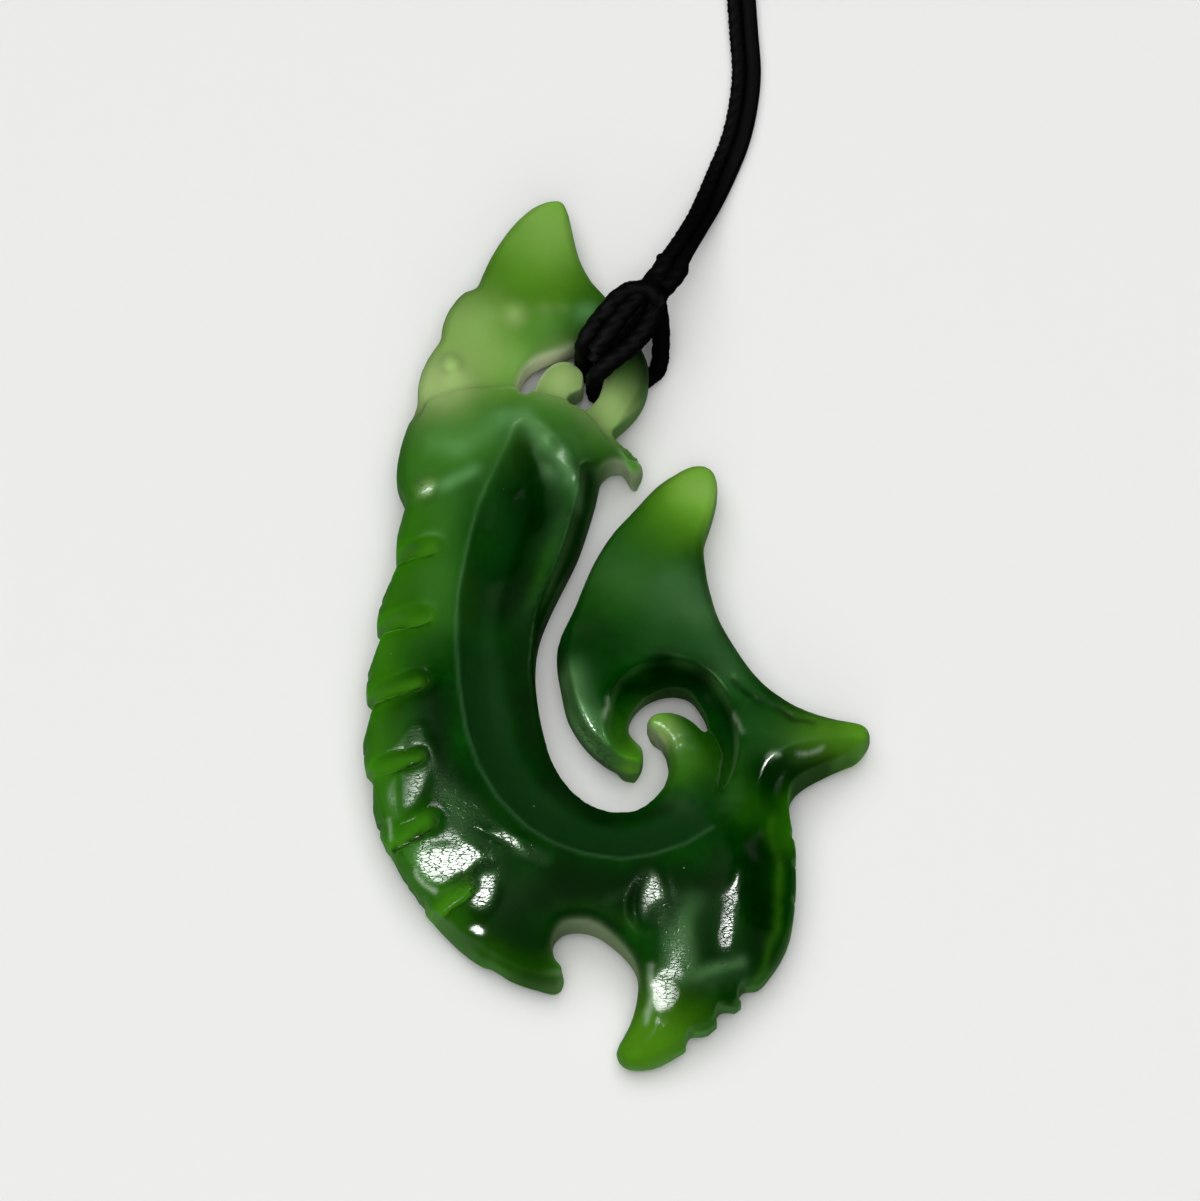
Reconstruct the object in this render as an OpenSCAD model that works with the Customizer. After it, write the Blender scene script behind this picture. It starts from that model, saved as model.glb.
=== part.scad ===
// Greenstone manaia pendant, lying on its flat back with its cord laid out as a neck loop.
// Origin: centre of the carving's box, on the surface it lies on. +X right, +Y to the crest, +Z up.

/* [Stone] */
// Thickness of the dome and of the trunk's ridge
stone_thick = 7; // [6.4:0.1:8]
// Clear height under the thinner head, where the cord passes
head_lift = 1.5; // [1.4:0.1:1.8]
// How far the rim is rounded over
rim_round = 0.7; // [0.4:0.1:0.8]
// Height from which the edge runs in towards the flat back
under_round = 2.2; // [0.8:0.1:2.4]
// Depth of the long scoop beside the trunk's ridge
scoop_depth = 2; // [1.2:0.1:2.4]
// Depth of the recess round the spiral's tongue
recess_depth = 2; // [1.2:0.1:2.4]
// Width of the six notches in the back edge
notch_w = 1.2; // [0.8:0.1:1.5]
// Width of the small nicks between the notches
nick_w = 0.4; // [0.3:0.05:0.7]

/* [Cord] */
// Diameter of the waxed cord
cord_d = 1.1; // [0.9:0.1:1.2]
// Length of the cord from one side of the hitch round the neck to the other
cord_length = 600; // [450:10:700]

/* [Hidden] */

X = 0;
Y = 1;
Z = 2;

// The outline, clockwise from the crest's tip, in named stretches of [x, y]
crest = [[-5.6, 33], [-4.4, 33.3], [-3.8, 33.1], [-3.4, 32], [-3.1, 30.5], [-2.7, 28.8], [-1.8, 27],
    [-0.5, 25.2], [0.7, 23.2]];
beak = [[1.8, 21.6], [2.3, 20.2], [2.3, 18.9], [2.1, 17.8], [1.5, 16.7], [0.5, 15.6], [-0.3, 14.9]];
chin_spur = [[-0.2, 14.5], [0.5, 13.9], [1.5, 13.3], [1.9, 12.6], [1.8, 11.9], [1.2, 11.5], [0.8, 11.9],
    [0.3, 12.5], [-0.6, 12.2], [-1.2, 11.5]];
trunk_front = [[-1.3, 10.8], [-1.5, 9.8], [-2, 8], [-2.7, 5.8], [-3.6, 3.8], [-4.5, 1.9], [-5.3, -0.1],
    [-5.7, -1.8], [-5.8, -3.8], [-5.6, -6.1]];
ring_inside = [[-5.1, -8.6], [-4.5, -10.6], [-3.3, -12.5], [-2, -13.5], [-0.8, -14], [0.7, -14.2],
    [2.2, -13.7], [3.3, -12.5], [3.7, -10.9]];
tongue_edge = [[3.5, -9.5], [2.9, -8.3], [2.2, -7.7], [2.2, -7.2], [2.6, -6.8], [3.5, -6.7], [4.4, -6.9],
    [5.5, -7.6], [6.3, -8.5]];
slit_end = [[6.5, -8.2], [6.5, -7.3], [6.1, -6.3], [5.6, -5.5], [5.2, -5], [4.3, -4.7], [3.1, -4.8],
    [1.8, -5.5], [1, -6.6], [0.8, -7.6]];
hook_tip = [[1.2, -8.4], [1.8, -9], [1.9, -9.9], [1.6, -10.7], [1, -10.8], [-0.6, -10.2], [-2.2, -8.8]];
fin_front = [[-3.5, -6.7], [-4, -4.3], [-4.3, -2.4], [-4, -0.8], [-3.2, 0.8], [-2.4, 2.8], [-1.6, 4.7],
    [-0.2, 7.1], [1.3, 9], [2.9, 10.9], [4.3, 12], [5.2, 12.6]];
fin_back = [[6.2, 12.7], [6.9, 12.3], [7.2, 11.4], [7.2, 10.1], [6.9, 8.7], [6.5, 7.4], [6.2, 6.3],
    [6.4, 3.9], [6.8, 1.9], [7.4, 0], [8.5, -2], [9.7, -3.8], [10.9, -5]];
spike = [[12.7, -6.1], [14.6, -6.7], [16.6, -6.8], [17.7, -7.1], [18, -7.6], [18, -8.1], [17.3, -8.9],
    [16, -9.7], [14.2, -10.7], [13, -11.5], [12.3, -12.4]];
tail_back = [[12.2, -13.8], [12.4, -15.3], [12.7, -17], [12.7, -18.4], [12.7, -19.6], [12.6, -21],
    [12.3, -22.9], [11.6, -24.6], [10.6, -26.1], [9.8, -26.8], [9.1, -26.9], [9.2, -27.5], [8.4, -28.4],
    [7.5, -28.4], [7.5, -29.1], [6.4, -30.1], [5.5, -30.2], [5.3, -30.8]];
tail_tip = [[4.2, -31.6], [3, -32.2], [1.7, -32.5], [0.6, -32.3], [0, -31.6], [0.1, -30.7], [0.9, -29.3]];
bottom_bay = [[1.4, -27.8], [1.5, -26.2], [0.8, -24.8], [-0.4, -23.6], [-1.5, -22.8], [-2.8, -22.5],
    [-3.8, -22.7], [-4.4, -23.4], [-4.6, -24.3], [-4.3, -25]];
belly = [[-3.8, -25.6], [-4.3, -26.2], [-5.4, -26.2], [-6.8, -25.8], [-8.6, -24.9], [-10.4, -23.8],
    [-11.9, -22.5], [-13.5, -20.8], [-14.8, -19.1], [-15.8, -17.4]];
back_edge = [[-16.6, -15.9], [-17.2, -14], [-17.6, -12], [-18, -9.7], [-18.1, -7.6], [-17.9, -5.9],
    [-17.8, -4], [-17.6, -2], [-17.2, -0.4], [-16.9, 1.6], [-16.3, 3.5], [-15.8, 5], [-15.7, 6.8],
    [-15.3, 8.4]];
nape = [[-15.1, 9.5], [-15.6, 10.5], [-15.8, 11.7], [-15.5, 13.6], [-14.9, 15.5], [-14.3, 17.1]];
brow = [[-14.3, 18.4], [-14, 19.8], [-13.3, 21.1], [-12.6, 22.2], [-12.6, 22.9], [-12.1, 24.3],
    [-11, 25.7], [-10.1, 26], [-9.7, 27.1], [-9, 28.8], [-8, 30.5], [-6.7, 32.2]];
outline_knots = concat(crest, beak, chin_spur, trunk_front, ring_inside, tongue_edge, slit_end, hook_tip,
    fin_front, fin_back, spike, tail_back, tail_tip, bottom_bay, belly, back_edge, nape, brow);

// The hole in the head, and the little curled tongue that stands in it
head_hole = [[-7.1, 18], [-6.9, 19.1], [-6.3, 20.1], [-5.2, 20.8], [-3.9, 21.2], [-2.9, 21.7],
    [-1.9, 21.4], [-1.1, 20.5], [-0.9, 19.2], [-1.3, 17.6], [-2.1, 16.8], [-3.3, 16.2], [-5, 16.2],
    [-6.4, 16.6]];
curled_tongue = [[-6.2, 15.5], [-6, 18], [-5.6, 19.1], [-4.9, 20.1], [-3.9, 20.6], [-3, 20.4],
    [-2.5, 19.8], [-2.35, 19], [-2.5, 18.3], [-3.1, 18], [-3.5, 17.6], [-3.6, 16.8], [-3.4, 15.5]];

// Where the dome stands up over the thinner head
dome_edge = [[-22, 10], [-14.6, 16.2], [-12.8, 17.3], [-10.7, 17.8], [-8, 17.7], [-6, 17.4], [-3.6, 16.6],
    [-1.8, 15.4], [-0.9, 14.2], [0.4, 13.2], [3, 12.6], [22, 13.8]];

// Ridges of the smooth top: [x, y, height, reach], falling by "fall" at the reach
trunk_ridge = [[-10.8, 13.4, 0.94, 5.8], [-6, 14.5, 1, 7], [-8.7, 10.7, 0.99, 6.5],
    [-10.5, 6, 0.98, 6], [-11.4, 1.5, 0.97, 6.2], [-11.7, -4, 0.96, 6.4], [-11.2, -10, 0.95, 6.6],
    [-9, -14.4, 0.95, 6.8], [-4.5, -17.3, 0.93, 7], [0.3, -18.3, 0.92, 8], [4.9, -17.4, 0.9, 8],
    [8.5, -14.6, 0.88, 6], [9.8, -11, 0.86, 5]];
front_ridge = [[-4.6, 13.6, 0.97, 4], [-2.9, 11, 0.94, 4], [-3.2, 7.6, 0.91, 4], [-4.2, 4, 0.87, 3.5],
    [-5.8, 0, 0.8, 3]];
fin_ridge = [[9.5, -9, 0.86, 6], [6, -3, 0.85, 7], [3.8, 2.5, 0.8, 7], [5, 8, 0.7, 6.5], [6, 12, 0.56, 5]];
fin_front_ridge = [[-0.9, 0.6, 0.78, 5], [0.6, 4.6, 0.74, 5], [3, 8.4, 0.66, 5]];
fin_root_ridge = [[3, -1.5, 0.82, 6], [-1.5, -4, 0.8, 5], [-1.6, -8, 0.76, 4.5], [1, -10, 0.7, 4]];
tongue_ridge = [[5.8, -13, 0.8, 4], [6, -10.5, 0.76, 3.4], [4.9, -8.9, 0.72, 3], [3.2, -7.6, 0.66, 3]];
spike_ridge = [[9.8, -9.5, 0.86, 5], [13.5, -8.4, 0.74, 3.4], [17, -7.8, 0.54, 2.6]];
tail_ridge = [[4.2, -17.6, 0.89, 6.5], [6, -20.6, 0.87, 5], [6.4, -23.8, 0.81, 4.4],
    [5.4, -27, 0.68, 4.2], [3.6, -29.6, 0.5, 3.6], [1.4, -31.4, 0.38, 3]];
tail_back_ridge = [[11.3, -15, 0.6, 3], [11.4, -18.5, 0.63, 3], [11.1, -21.5, 0.6, 3],
    [10, -24.8, 0.5, 3], [8, -27.2, 0.38, 3]];
belly_ridge = [[-9.5, -13, 0.92, 5.8], [-9.6, -17, 0.85, 4.6], [-8, -20.6, 0.68, 4],
    [-5.6, -23.4, 0.48, 3.4], [-4.6, -25, 0.36, 2.5]];
body_ridges = [trunk_ridge, front_ridge, fin_ridge, fin_front_ridge, fin_root_ridge, tongue_ridge,
    spike_ridge, tail_ridge, tail_back_ridge, belly_ridge];
crest_ridge = [[-8, 24, 0.76, 6], [-6.3, 28.5, 0.68, 6], [-5, 32, 0.58, 5]];
brow_ridge = [[-13, 21, 0.68, 4], [-10.8, 24.4, 0.72, 4], [-6.5, 23.8, 0.78, 4], [-2, 24, 0.7, 4]];
cheek_ridge = [[-12, 17, 0.72, 5], [-8.5, 20, 0.72, 4]];
beak_ridge = [[-0.5, 22.5, 0.7, 4], [0.8, 18.6, 0.72, 3.5], [-0.2, 15.6, 0.7, 3.5]];
curl_ridge = [[-4.6, 16.5, 0.66, 3.5], [-4, 18.8, 0.64, 3]];
head_ridges = [crest_ridge, brow_ridge, cheek_ridge, beak_ridge, curl_ridge];
ridge_fall = 2.2;
ridge_blend = 2.5;

// Hollows swept between two lines: [outer x, outer y, inner x, inner y, start, floor, end],
// the last three as parts of the hollow's depth below its crisp outer edge.
// The outer line lies on the right of the way the stations run.
long_scoop = [[-6.8, 15.3, -6, 15.4, 0, 0.1, 0], [-7.7, 13.2, -4.8, 14.2, 0, 0.5, 0],
    [-8.8, 10.8, -3.3, 12.6, 0, 0.8, 0.1], [-9.7, 8.8, -2.6, 10.9, 0, 1, 0.15],
    [-10.3, 6.8, -2.8, 8.5, 0, 1.05, 0.2], [-10.8, 4.4, -3.6, 5.7, 0, 1.05, 0.3],
    [-11.3, 1.5, -4.8, 2.6, 0, 1.05, 0.5], [-11.4, -1.6, -5.6, -0.6, 0, 1, 0.85],
    [-11.2, -5.2, -4.7, -4.8, 0, 1, 1.15], [-10.7, -8.6, -4.2, -8, 0, 1, 1.2],
    [-9.8, -11.5, -2.8, -10.6, 0, 1, 1.2], [-8.4, -13.9, -1.4, -12, 0, 1, 1.2],
    [-6.5, -15.9, -0.3, -12.6, 0, 1, 1.2], [-4.5, -17.2, 0.5, -12.8, 0, 0.95, 1.2],
    [-2.4, -18, 1.1, -12.8, 0, 0.9, 1.15], [0.3, -18.4, 1.8, -12.6, 0, 0.8, 1.05],
    [2.6, -18.1, 2.6, -12.2, 0, 0.6, 0.85], [4.9, -17.3, 3.2, -11.4, 0, 0.4, 0.55],
    [6.8, -16, 3.8, -10.4, 0, 0.15, 0.2], [8, -14.6, 4.4, -9.6, -0.1, -0.1, -0.1]];
spiral_recess = [[7.3, -13.6, 6.9, -13.4, 0, 0.2, 0.2], [8.2, -12, 7.3, -11.4, 0, 0.7, 0.7],
    [8.7, -10.2, 7.4, -9.9, 0, 0.8, 0.9], [8.7, -8.2, 6.8, -8.5, 0, 0.8, 1],
    [8.2, -6.3, 6, -7.4, 0, 0.8, 1.1], [7.1, -4.5, 5.4, -6.3, 0, 0.8, 1.15],
    [5.4, -3.3, 4.4, -5.8, 0, 0.8, 1.2], [3.1, -2.8, 3.2, -5.8, 0, 0.8, 1.2],
    [1, -3.5, 2, -6.3, 0, 0.8, 1.2], [-0.3, -4.9, 1.5, -7, 0, 0.8, 1.2],
    [-0.8, -7, 1.4, -7.8, 0, 0.75, 1.15], [-0.7, -8.7, 1.8, -8.4, 0, 0.6, 0.95],
    [-0.1, -10, 2.6, -9.2, 0, 0.5, 0.8], [0.9, -11.1, 3, -10, 0, 0.4, 0.6],
    [1.8, -11.7, 3.3, -10.8, 0, 0.3, 0.4]];

// Bevels, from a crisp line on the top down to the edge: the trunk's front, the fin and hook, the belly
// with the lower back edge, and the spike's lower edge with the tail's back
front_bevel = [[-2.6, 12, -1.2, 12, -0.1, -0.1, -0.1], [-2.6, 10.8, -0.9, 10.6, 0, 0.5, 1],
    [-3, 8.5, -1.4, 7.8, 0, 0.5, 1], [-3.8, 5.7, -2.2, 5, 0, 0.5, 1], [-4.9, 2.8, -3.4, 2, 0, 0.45, 0.9],
    [-5.9, 0.6, -4.5, 0.1, 0, 0.35, 0.7], [-6.4, -1.4, -5.1, -1.7, 0, 0.25, 0.5],
    [-6.6, -3.2, -5.3, -3.4, 0, 0.15, 0.3], [-6.6, -5, -5.3, -5, -0.1, -0.1, -0.1]];
fin_bevel = [[2, -9.9, 2.9, -10.9, 0, 0.3, 0.6], [1.1, -10, 1.5, -11.7, 0, 0.5, 1],
    [-0.5, -9.5, -1.4, -11, 0, 0.5, 1], [-1.9, -8.1, -3.2, -9.1, 0, 0.5, 1],
    [-2.8, -6.3, -4.4, -6.8, 0, 0.45, 0.9], [-3.2, -4.4, -4.9, -4.5, 0, 0.35, 0.75],
    [-3.4, -2.4, -5.1, -2.1, 0, 0.25, 0.55], [-3.1, -0.5, -4.6, 0.2, 0, 0.15, 0.35],
    [-2.5, 1.2, -3.7, 2, -0.1, -0.1, -0.1]];
belly_bevel = [[-4.7, -24, -3.8, -26.6, 0, 0.12, 1.2], [-5.7, -23.4, -5.3, -26.7, 0, 0.12, 1.2],
    [-7.3, -22.8, -8, -26.1, 0, 0.12, 1.2], [-9.2, -21.8, -10.2, -24.7, 0, 0.15, 1.1],
    [-10.9, -20.6, -12.4, -23.1, 0, 0.2, 1], [-12.3, -19.2, -14.4, -21.3, 0, 0.22, 0.9],
    [-13.6, -17.3, -16, -19, 0, 0.22, 0.75], [-14.8, -15.1, -17.4, -16.3, 0, 0.2, 0.65],
    [-15.7, -12.6, -18.3, -13.2, 0, 0.18, 0.55], [-16.3, -9.8, -18.9, -9.9, 0, 0.15, 0.45],
    [-16.6, -6.5, -18.8, -6.5, 0, 0.1, 0.3], [-16.6, -3, -18.4, -3, -0.1, -0.1, -0.1]];
tail_bevel = [[18, -7.9, 18.8, -8.5, 0, 0.15, 0.5], [16.5, -8.3, 17.8, -9.8, 0, 0.35, 1.1],
    [15.3, -8.6, 16.2, -10.6, 0, 0.45, 1.4], [13.5, -9.2, 14.7, -11.7, 0, 0.5, 1.4],
    [12, -9.8, 13.8, -12.5, 0, 0.5, 1.3], [10.9, -10.7, 13.3, -13.2, 0, 0.5, 1.15],
    [10.2, -11.9, 13.1, -13.8, 0, 0.5, 1.05], [9.9, -13.3, 13.1, -14.5, 0, 0.5, 0.95],
    [10.1, -15, 13.2, -15.4, 0, 0.45, 0.9], [10.7, -16.8, 13.4, -16.8, 0, 0.4, 0.85],
    [11.2, -18.6, 13.6, -18.6, 0, 0.35, 0.8], [11.4, -20.6, 13.6, -20.8, 0, 0.35, 0.8],
    [11, -23, 13.2, -24, 0, 0.35, 0.8], [10, -25.5, 11.7, -27.2, 0, 0.35, 0.8],
    [8.7, -27.2, 9.9, -28.9, 0, 0.3, 0.7], [7, -28.7, 8.1, -30.6, 0, 0.3, 0.7],
    [5.1, -30.1, 5.9, -32.3, 0, 0.3, 0.7], [3.2, -31.2, 3.6, -33.4, 0, 0.3, 0.7],
    [1.6, -31.7, 1.2, -33.7, 0, 0.3, 0.7], [0.7, -31.4, -0.9, -32.6, 0, 0.25, 0.6],
    [0.8, -30.5, -1, -30.5, -0.1, -0.1, -0.1]];
front_drop = 3.4;
fin_drop = 4;
belly_drop = 2.9;
tail_drop = 2;

// Notches of the back edge: [edge x, edge y, inner x, inner y]
notches = [[-16, 4.9, -13, 5.4], [-17.2, -0.4, -13.6, 0], [-17.9, -5.6, -13.8, -4.9],
    [-18.1, -11.1, -13.9, -10.6], [-16.8, -16.9, -13, -15.3], [-13.4, -21.7, -10.3, -19.9]];
// Small nicks of the back edge and of the tail: [x, y, angle of the cut's outer side, size]
nicks = [[-16.4, 3.3, 170, 1], [-16.9, 1.6, 170, 1], [-17.6, -2, 175, 1], [-17.8, -3.9, 175, 1],
    [-18.1, -7.6, 180, 1], [-18, -9.4, 180, 1], [-17.4, -13, 195, 1], [-16.8, -14.9, 205, 1],
    [-15, -18.9, 215, 1], [-13.7, -20.5, 220, 1], [-10.5, -23.7, 240, 1], [-8.8, -24.7, 245, 1],
    [12.5, -15.9, 0, 1], [12.7, -17.9, 0, 1], [12.7, -20.5, -5, 1], [8.9, -27.1, -75, 1.3],
    [7.3, -28.7, -80, 1.3], [5.2, -30.4, -85, 1.2]];

tau = 360;
eye_bead = [-11.9, 19.8, 4.6];
bead_d = 1.9;
nick_depth = 0.3;
// A notch falls steeply from its lower side, to this depth at its inner end and this height at the edge,
// and rises gently to its upper side
notch_start = 1;
notch_floor = 2.8;
notch_low_share = 0.4;
notch_pit = 1.1;
past_edge = 1.2;
// The edge steps in below each notch, from this share of the way out, and comes back by the next one
step_share = 0.84;
step_d = 0.3;
last_step = [-7.6, -26.4];
side_overlap = 0.1;
// The edge runs in this share of the rounding at the flat back, starting no higher than a part of the edge
under_in = 1.25;
thin_share = 0.6;
// The top of the edge's wall lies this share of the rounding lower than the surface inside it
edge_fall = 0.8;
clear_gap = 0.1;
thin_edge = 1.6;
grid = 1;
cut_top = 11;

function lerp(a, b, t) = a + (b - a) * t;
function clamp01(t) = min(1, max(0, t));
function flat(p) = [p[X], p[Y]];

// Smooth curve through every knot
function spline_point(a, b, c, d, t) = 0.5 * (2 * b + (c - a) * t
    + (2 * a - 5 * b + 4 * c - d) * t * t + (3 * b - a - 3 * c + d) * t * t * t);
function closed_curve(k, steps) = [for (i = [0 : len(k) - 1]) for (s = [0 : steps - 1])
    spline_point(k[(i + len(k) - 1) % len(k)], k[i], k[(i + 1) % len(k)], k[(i + 2) % len(k)], s / steps)];
function open_curve(k, steps) = concat([for (i = [0 : len(k) - 2]) for (s = [0 : steps - 1])
    spline_point(k[max(0, i - 1)], k[i], k[i + 1], k[min(len(k) - 1, i + 2)], s / steps)], [k[len(k) - 1]]);

// Height of the smooth top over a point, from the ridge lines nearest to it
function along(p, a, b) = clamp01(((p - flat(a)) * (flat(b) - flat(a))) / (norm(flat(b) - flat(a)) ^ 2));
function crown(p, a, b, t) = lerp(a[2], b[2], t) * stone_thick
    - ridge_fall * (norm(p - lerp(flat(a), flat(b), t)) / lerp(a[3], b[3], t)) ^ 2;
function ridge_heights(p, ridges) = [for (r = ridges) max([for (i = [0 : len(r) - 2])
    crown(p, r[i], r[i + 1], along(p, r[i], r[i + 1]))])];
function total(v, i = 0) = i < len(v) ? v[i] + total(v, i + 1) : 0;
function top_height(p, ridges) = max(thin_edge,
    ln(total([for (h = ridge_heights(p, ridges)) exp(ridge_blend * h)])) / ridge_blend);

outline = closed_curve(outline_knots, 2);
count = len(outline);
stone_mid = [for (a = [X, Y]) (min([for (p = outline) p[a]]) + max([for (p = outline) p[a]])) / 2];
function at(i) = outline[(i + count) % count];
function inward(i) = let (d = at(i + 1) - at(i - 1)) [d[Y], -d[X]] / norm(d);
function turn(i) = let (a = at(i) - at(i - 2), b = at(i + 2) - at(i)) asin(cross(b, a) / (norm(a) * norm(b)));
function tip_radius(i) = turn(i) > 2 ? norm(at(i + 1) - at(i - 1)) * 90 / PI / turn(i) * 2 : 99;
function rim_in(i) = min(rim_round, min([for (k = [-2 : 2]) 0.55 * tip_radius(i + k)]));
function rim_ridges(i) = at(i)[Y] > 15.8 ? head_ridges : body_ridges;

module centred() {
    translate([-stone_mid[X], -stone_mid[Y], 0]) children();
}

module rim_block() {
    edge_in = [under_in, 0, 0, 1, 1];
    ring_points = [for (l = [0 : 4]) for (i = [0 : count - 1])
        let (p = at(i) + inward(i) * rim_in(i) * edge_in[l], ridges = rim_ridges(i),
            edge_top = top_height(at(i), ridges) - edge_fall * rim_round,
            clear_top = max(edge_top + rim_round, top_height(p, ridges) + clear_gap),
            levels = [0, min(under_round, edge_top * thin_share), edge_top, clear_top, cut_top])
        [p[X], p[Y], levels[l]]];
    walls = [for (l = [0 : 3]) for (i = [0 : count - 1]) let (j = (i + 1) % count)
        [l * count + i, l * count + j, (l + 1) * count + j, (l + 1) * count + i]];
    floor_face = [[for (i = [count - 1 : -1 : 0]) i]];
    roof_face = [[for (i = [0 : count - 1]) 4 * count + i]];
    polyhedron(ring_points, concat(walls, floor_face, roof_face), convexity = 20);
}

module top_block(ridges, x0, x1, y0, y1) {
    nx = round((x1 - x0) / grid);
    ny = round((y1 - y0) / grid);
    row = nx + 1;
    layer = row * (ny + 1);
    tops = [for (j = [0 : ny]) for (i = [0 : nx])
        let (p = [x0 + i * grid, y0 + j * grid]) [p[X], p[Y], top_height(p, ridges)]];
    floors = [[x0, y0, -1], [x1, y0, -1], [x1, y1, -1], [x0, y1, -1]];
    cells = [for (j = [0 : ny - 1]) for (i = [0 : nx - 1]) let (k = j * row + i)
        each [[k, k + row, k + row + 1], [k, k + row + 1, k + 1]]];
    front_side = [concat([for (i = [0 : nx]) i], [layer + 1, layer])];
    back_side = [concat([for (i = [nx : -1 : 0]) ny * row + i], [layer + 3, layer + 2])];
    left_side = [concat([for (j = [ny : -1 : 0]) j * row], [layer, layer + 3])];
    right_side = [concat([for (j = [0 : ny]) j * row + nx], [layer + 2, layer + 1])];
    base_side = [[layer, layer + 1, layer + 2, layer + 3]];
    polyhedron(concat(tops, floors), concat(cells, front_side, back_side, left_side, right_side, base_side),
        convexity = 10);
}

// A hollow with a crisp outer edge: the section falls steeply from the edge, then runs to its far side
module hollow(stations, depth, ridges) {
    fine = open_curve(stations, 3);
    shares = [0, 0.12, 0.3, 0.5, 0.75, 1];
    side = len(shares) + 2;
    sections = [for (s = fine)
        let (a = [s[0], s[1]], b = [s[2], s[3]], edge = top_height(a, ridges) + clear_gap,
            drops = [s[4], 0.45 * s[5], 0.85 * s[5], s[5], lerp(s[5], s[6], 0.45), s[6]])
        each concat([[a[X], a[Y], cut_top]],
            [for (i = [0 : 5]) let (p = lerp(a, b, shares[i])) [p[X], p[Y], edge - drops[i] * depth]],
            [[b[X], b[Y], cut_top]])];
    skin = [for (j = [0 : len(fine) - 2]) for (i = [0 : side - 1])
        let (n = (i + 1) % side, k = j * side)
        each [[k + i, k + side + i, k + side + n], [k + i, k + side + n, k + n]]];
    first_cap = [[for (i = [0 : side - 1]) i]];
    last_cap = [[for (i = [side - 1 : -1 : 0]) (len(fine) - 1) * side + i]];
    polyhedron(sections, concat(skin, first_cap, last_cap), convexity = 10);
}

module dome_side(above) {
    far = above ? 45 : -45;
    linear_extrude(height = 2 * cut_top, center = true) offset(delta = above ? side_overlap : 0)
        polygon(concat(open_curve(dome_edge, 3), [[22, far], [-22, far]]));
}

module notch_side(p, z) {
    translate([p[X], p[Y], z]) cylinder(d = 0.2, h = cut_top, $fn = 6);
}

function past_outline(n) = [lerp(n[2], n[0], past_edge), lerp(n[3], n[1], past_edge)];

module back_notches() {
    for (i = [0 : len(notches) - 1]) {
        n = notches[i];
        edge_end = past_outline(n);
        inner_end = [n[2], n[3]];
        way = (edge_end - inner_end) / norm(edge_end - inner_end);
        up = [way[Y], -way[X]] * notch_w;
        inner_top = top_height(inner_end, body_ridges);
        edge_top = top_height([n[0], n[1]], body_ridges);
        hull() {
            notch_side(edge_end - up * notch_low_share, notch_floor);
            notch_side(inner_end - up * notch_low_share, inner_top - notch_start);
            notch_side(edge_end + up * (1 - notch_low_share), edge_top);
            notch_side(inner_end + up * (1 - notch_low_share), inner_top);
        }
        translate([n[2], n[3], inner_top - notch_pit / 4]) sphere(d = notch_pit, $fn = 12);
        step_start = [lerp(n[2], n[0], step_share), lerp(n[3], n[1], step_share)];
        step_end = i + 1 < len(notches) ? past_outline(notches[i + 1]) : last_step;
        hull() for (p = [step_start, edge_end, step_end])
            translate([p[X], p[Y], -1]) cylinder(d = step_d, h = cut_top + 1, $fn = 8);
    }
    for (n = nicks) translate([n[0], n[1], -1]) rotate([0, 0, n[2]]) scale([n[3], n[3], 1]) hull() {
        translate([-nick_depth, 0, 0]) cylinder(d = nick_w / 2, h = 12, $fn = 4);
        translate([nick_depth, 0, 0]) cylinder(d = nick_w * 2, h = 12, $fn = 4);
    }
}

module head_opening() {
    difference() {
        linear_extrude(height = 3 * cut_top, center = true) polygon(closed_curve(head_hole, 3));
        linear_extrude(height = 3 * cut_top, center = true) polygon(closed_curve(curled_tongue, 3));
    }
}

module head_underside() {
    hull() {
        translate([-30, 17, -2]) cube([60, 30, 2 + head_lift]);
        translate([-30, 14.5, -2]) cube([60, 30, 2]);
    }
}

module greenstone_carving() {
    color("darkgreen") centred() difference() {
        intersection() {
            rim_block();
            union() {
                intersection() {
                    top_block(body_ridges, -20, 20, -35, 20);
                    dome_side(false);
                }
                intersection() {
                    top_block(head_ridges, -20, 8, 9, 36);
                    dome_side(true);
                }
                translate(eye_bead) sphere(d = bead_d, $fn = 12);
            }
        }
        hollow(long_scoop, scoop_depth, body_ridges);
        hollow(spiral_recess, recess_depth, body_ridges);
        hollow(front_bevel, front_drop, body_ridges);
        hollow(fin_bevel, fin_drop, body_ridges);
        hollow(belly_bevel, belly_drop, body_ridges);
        hollow(tail_bevel, tail_drop, body_ridges);
        back_notches();
        head_opening();
        head_underside();
    }
}

// Turns of the hitch on the bar beside the head hole, as [x, y, z] of the cord's middle
left_turn = [[2.6, 25.1, 5.4], [1.2, 25, 6.2], [-0.4, 23.8, 6.3], [-1.6, 22.3, 6.2], [-2.3, 21.2, 5.6],
    [-2.35, 20.75, 3.8], [-2.3, 20.75, 1.4], [-2, 20.9, 0.75], [-0.2, 21.8, 0.75], [1.2, 23, 0.75],
    [2.3, 24.2, 1.4], [2.8, 24.9, 3.2], [2.6, 25.1, 5.4]];
right_turn = [[2.9, 24.3, 5.9], [2.5, 22.8, 6.3], [1.8, 21.6, 6.3], [0.9, 20.6, 6.2], [0, 19.9, 6.1],
    [-0.9, 19.2, 5.8], [-1.5, 18.9, 5], [-1.5, 19, 3.4], [-1.5, 19.1, 1.4], [-1.2, 19.2, 0.75],
    [0.4, 19.6, 0.75], [2, 20.3, 0.75], [3, 21, 1.3], [3.2, 22, 2.6], [3.2, 23.2, 4.3], [2.9, 24.3, 5.9]];
middle_turn = [[3, 26, 6], [1.9, 24.7, 6.8], [0.5, 23, 7], [-0.6, 21.4, 6.8], [-1.5, 20.4, 6.1]];
under_turn = [[2.6, 25, 5.7], [1.3, 23.6, 5.8], [0.1, 22.1, 5.8], [-0.9, 20.9, 5.7], [-1.6, 20, 5.2]];
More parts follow.
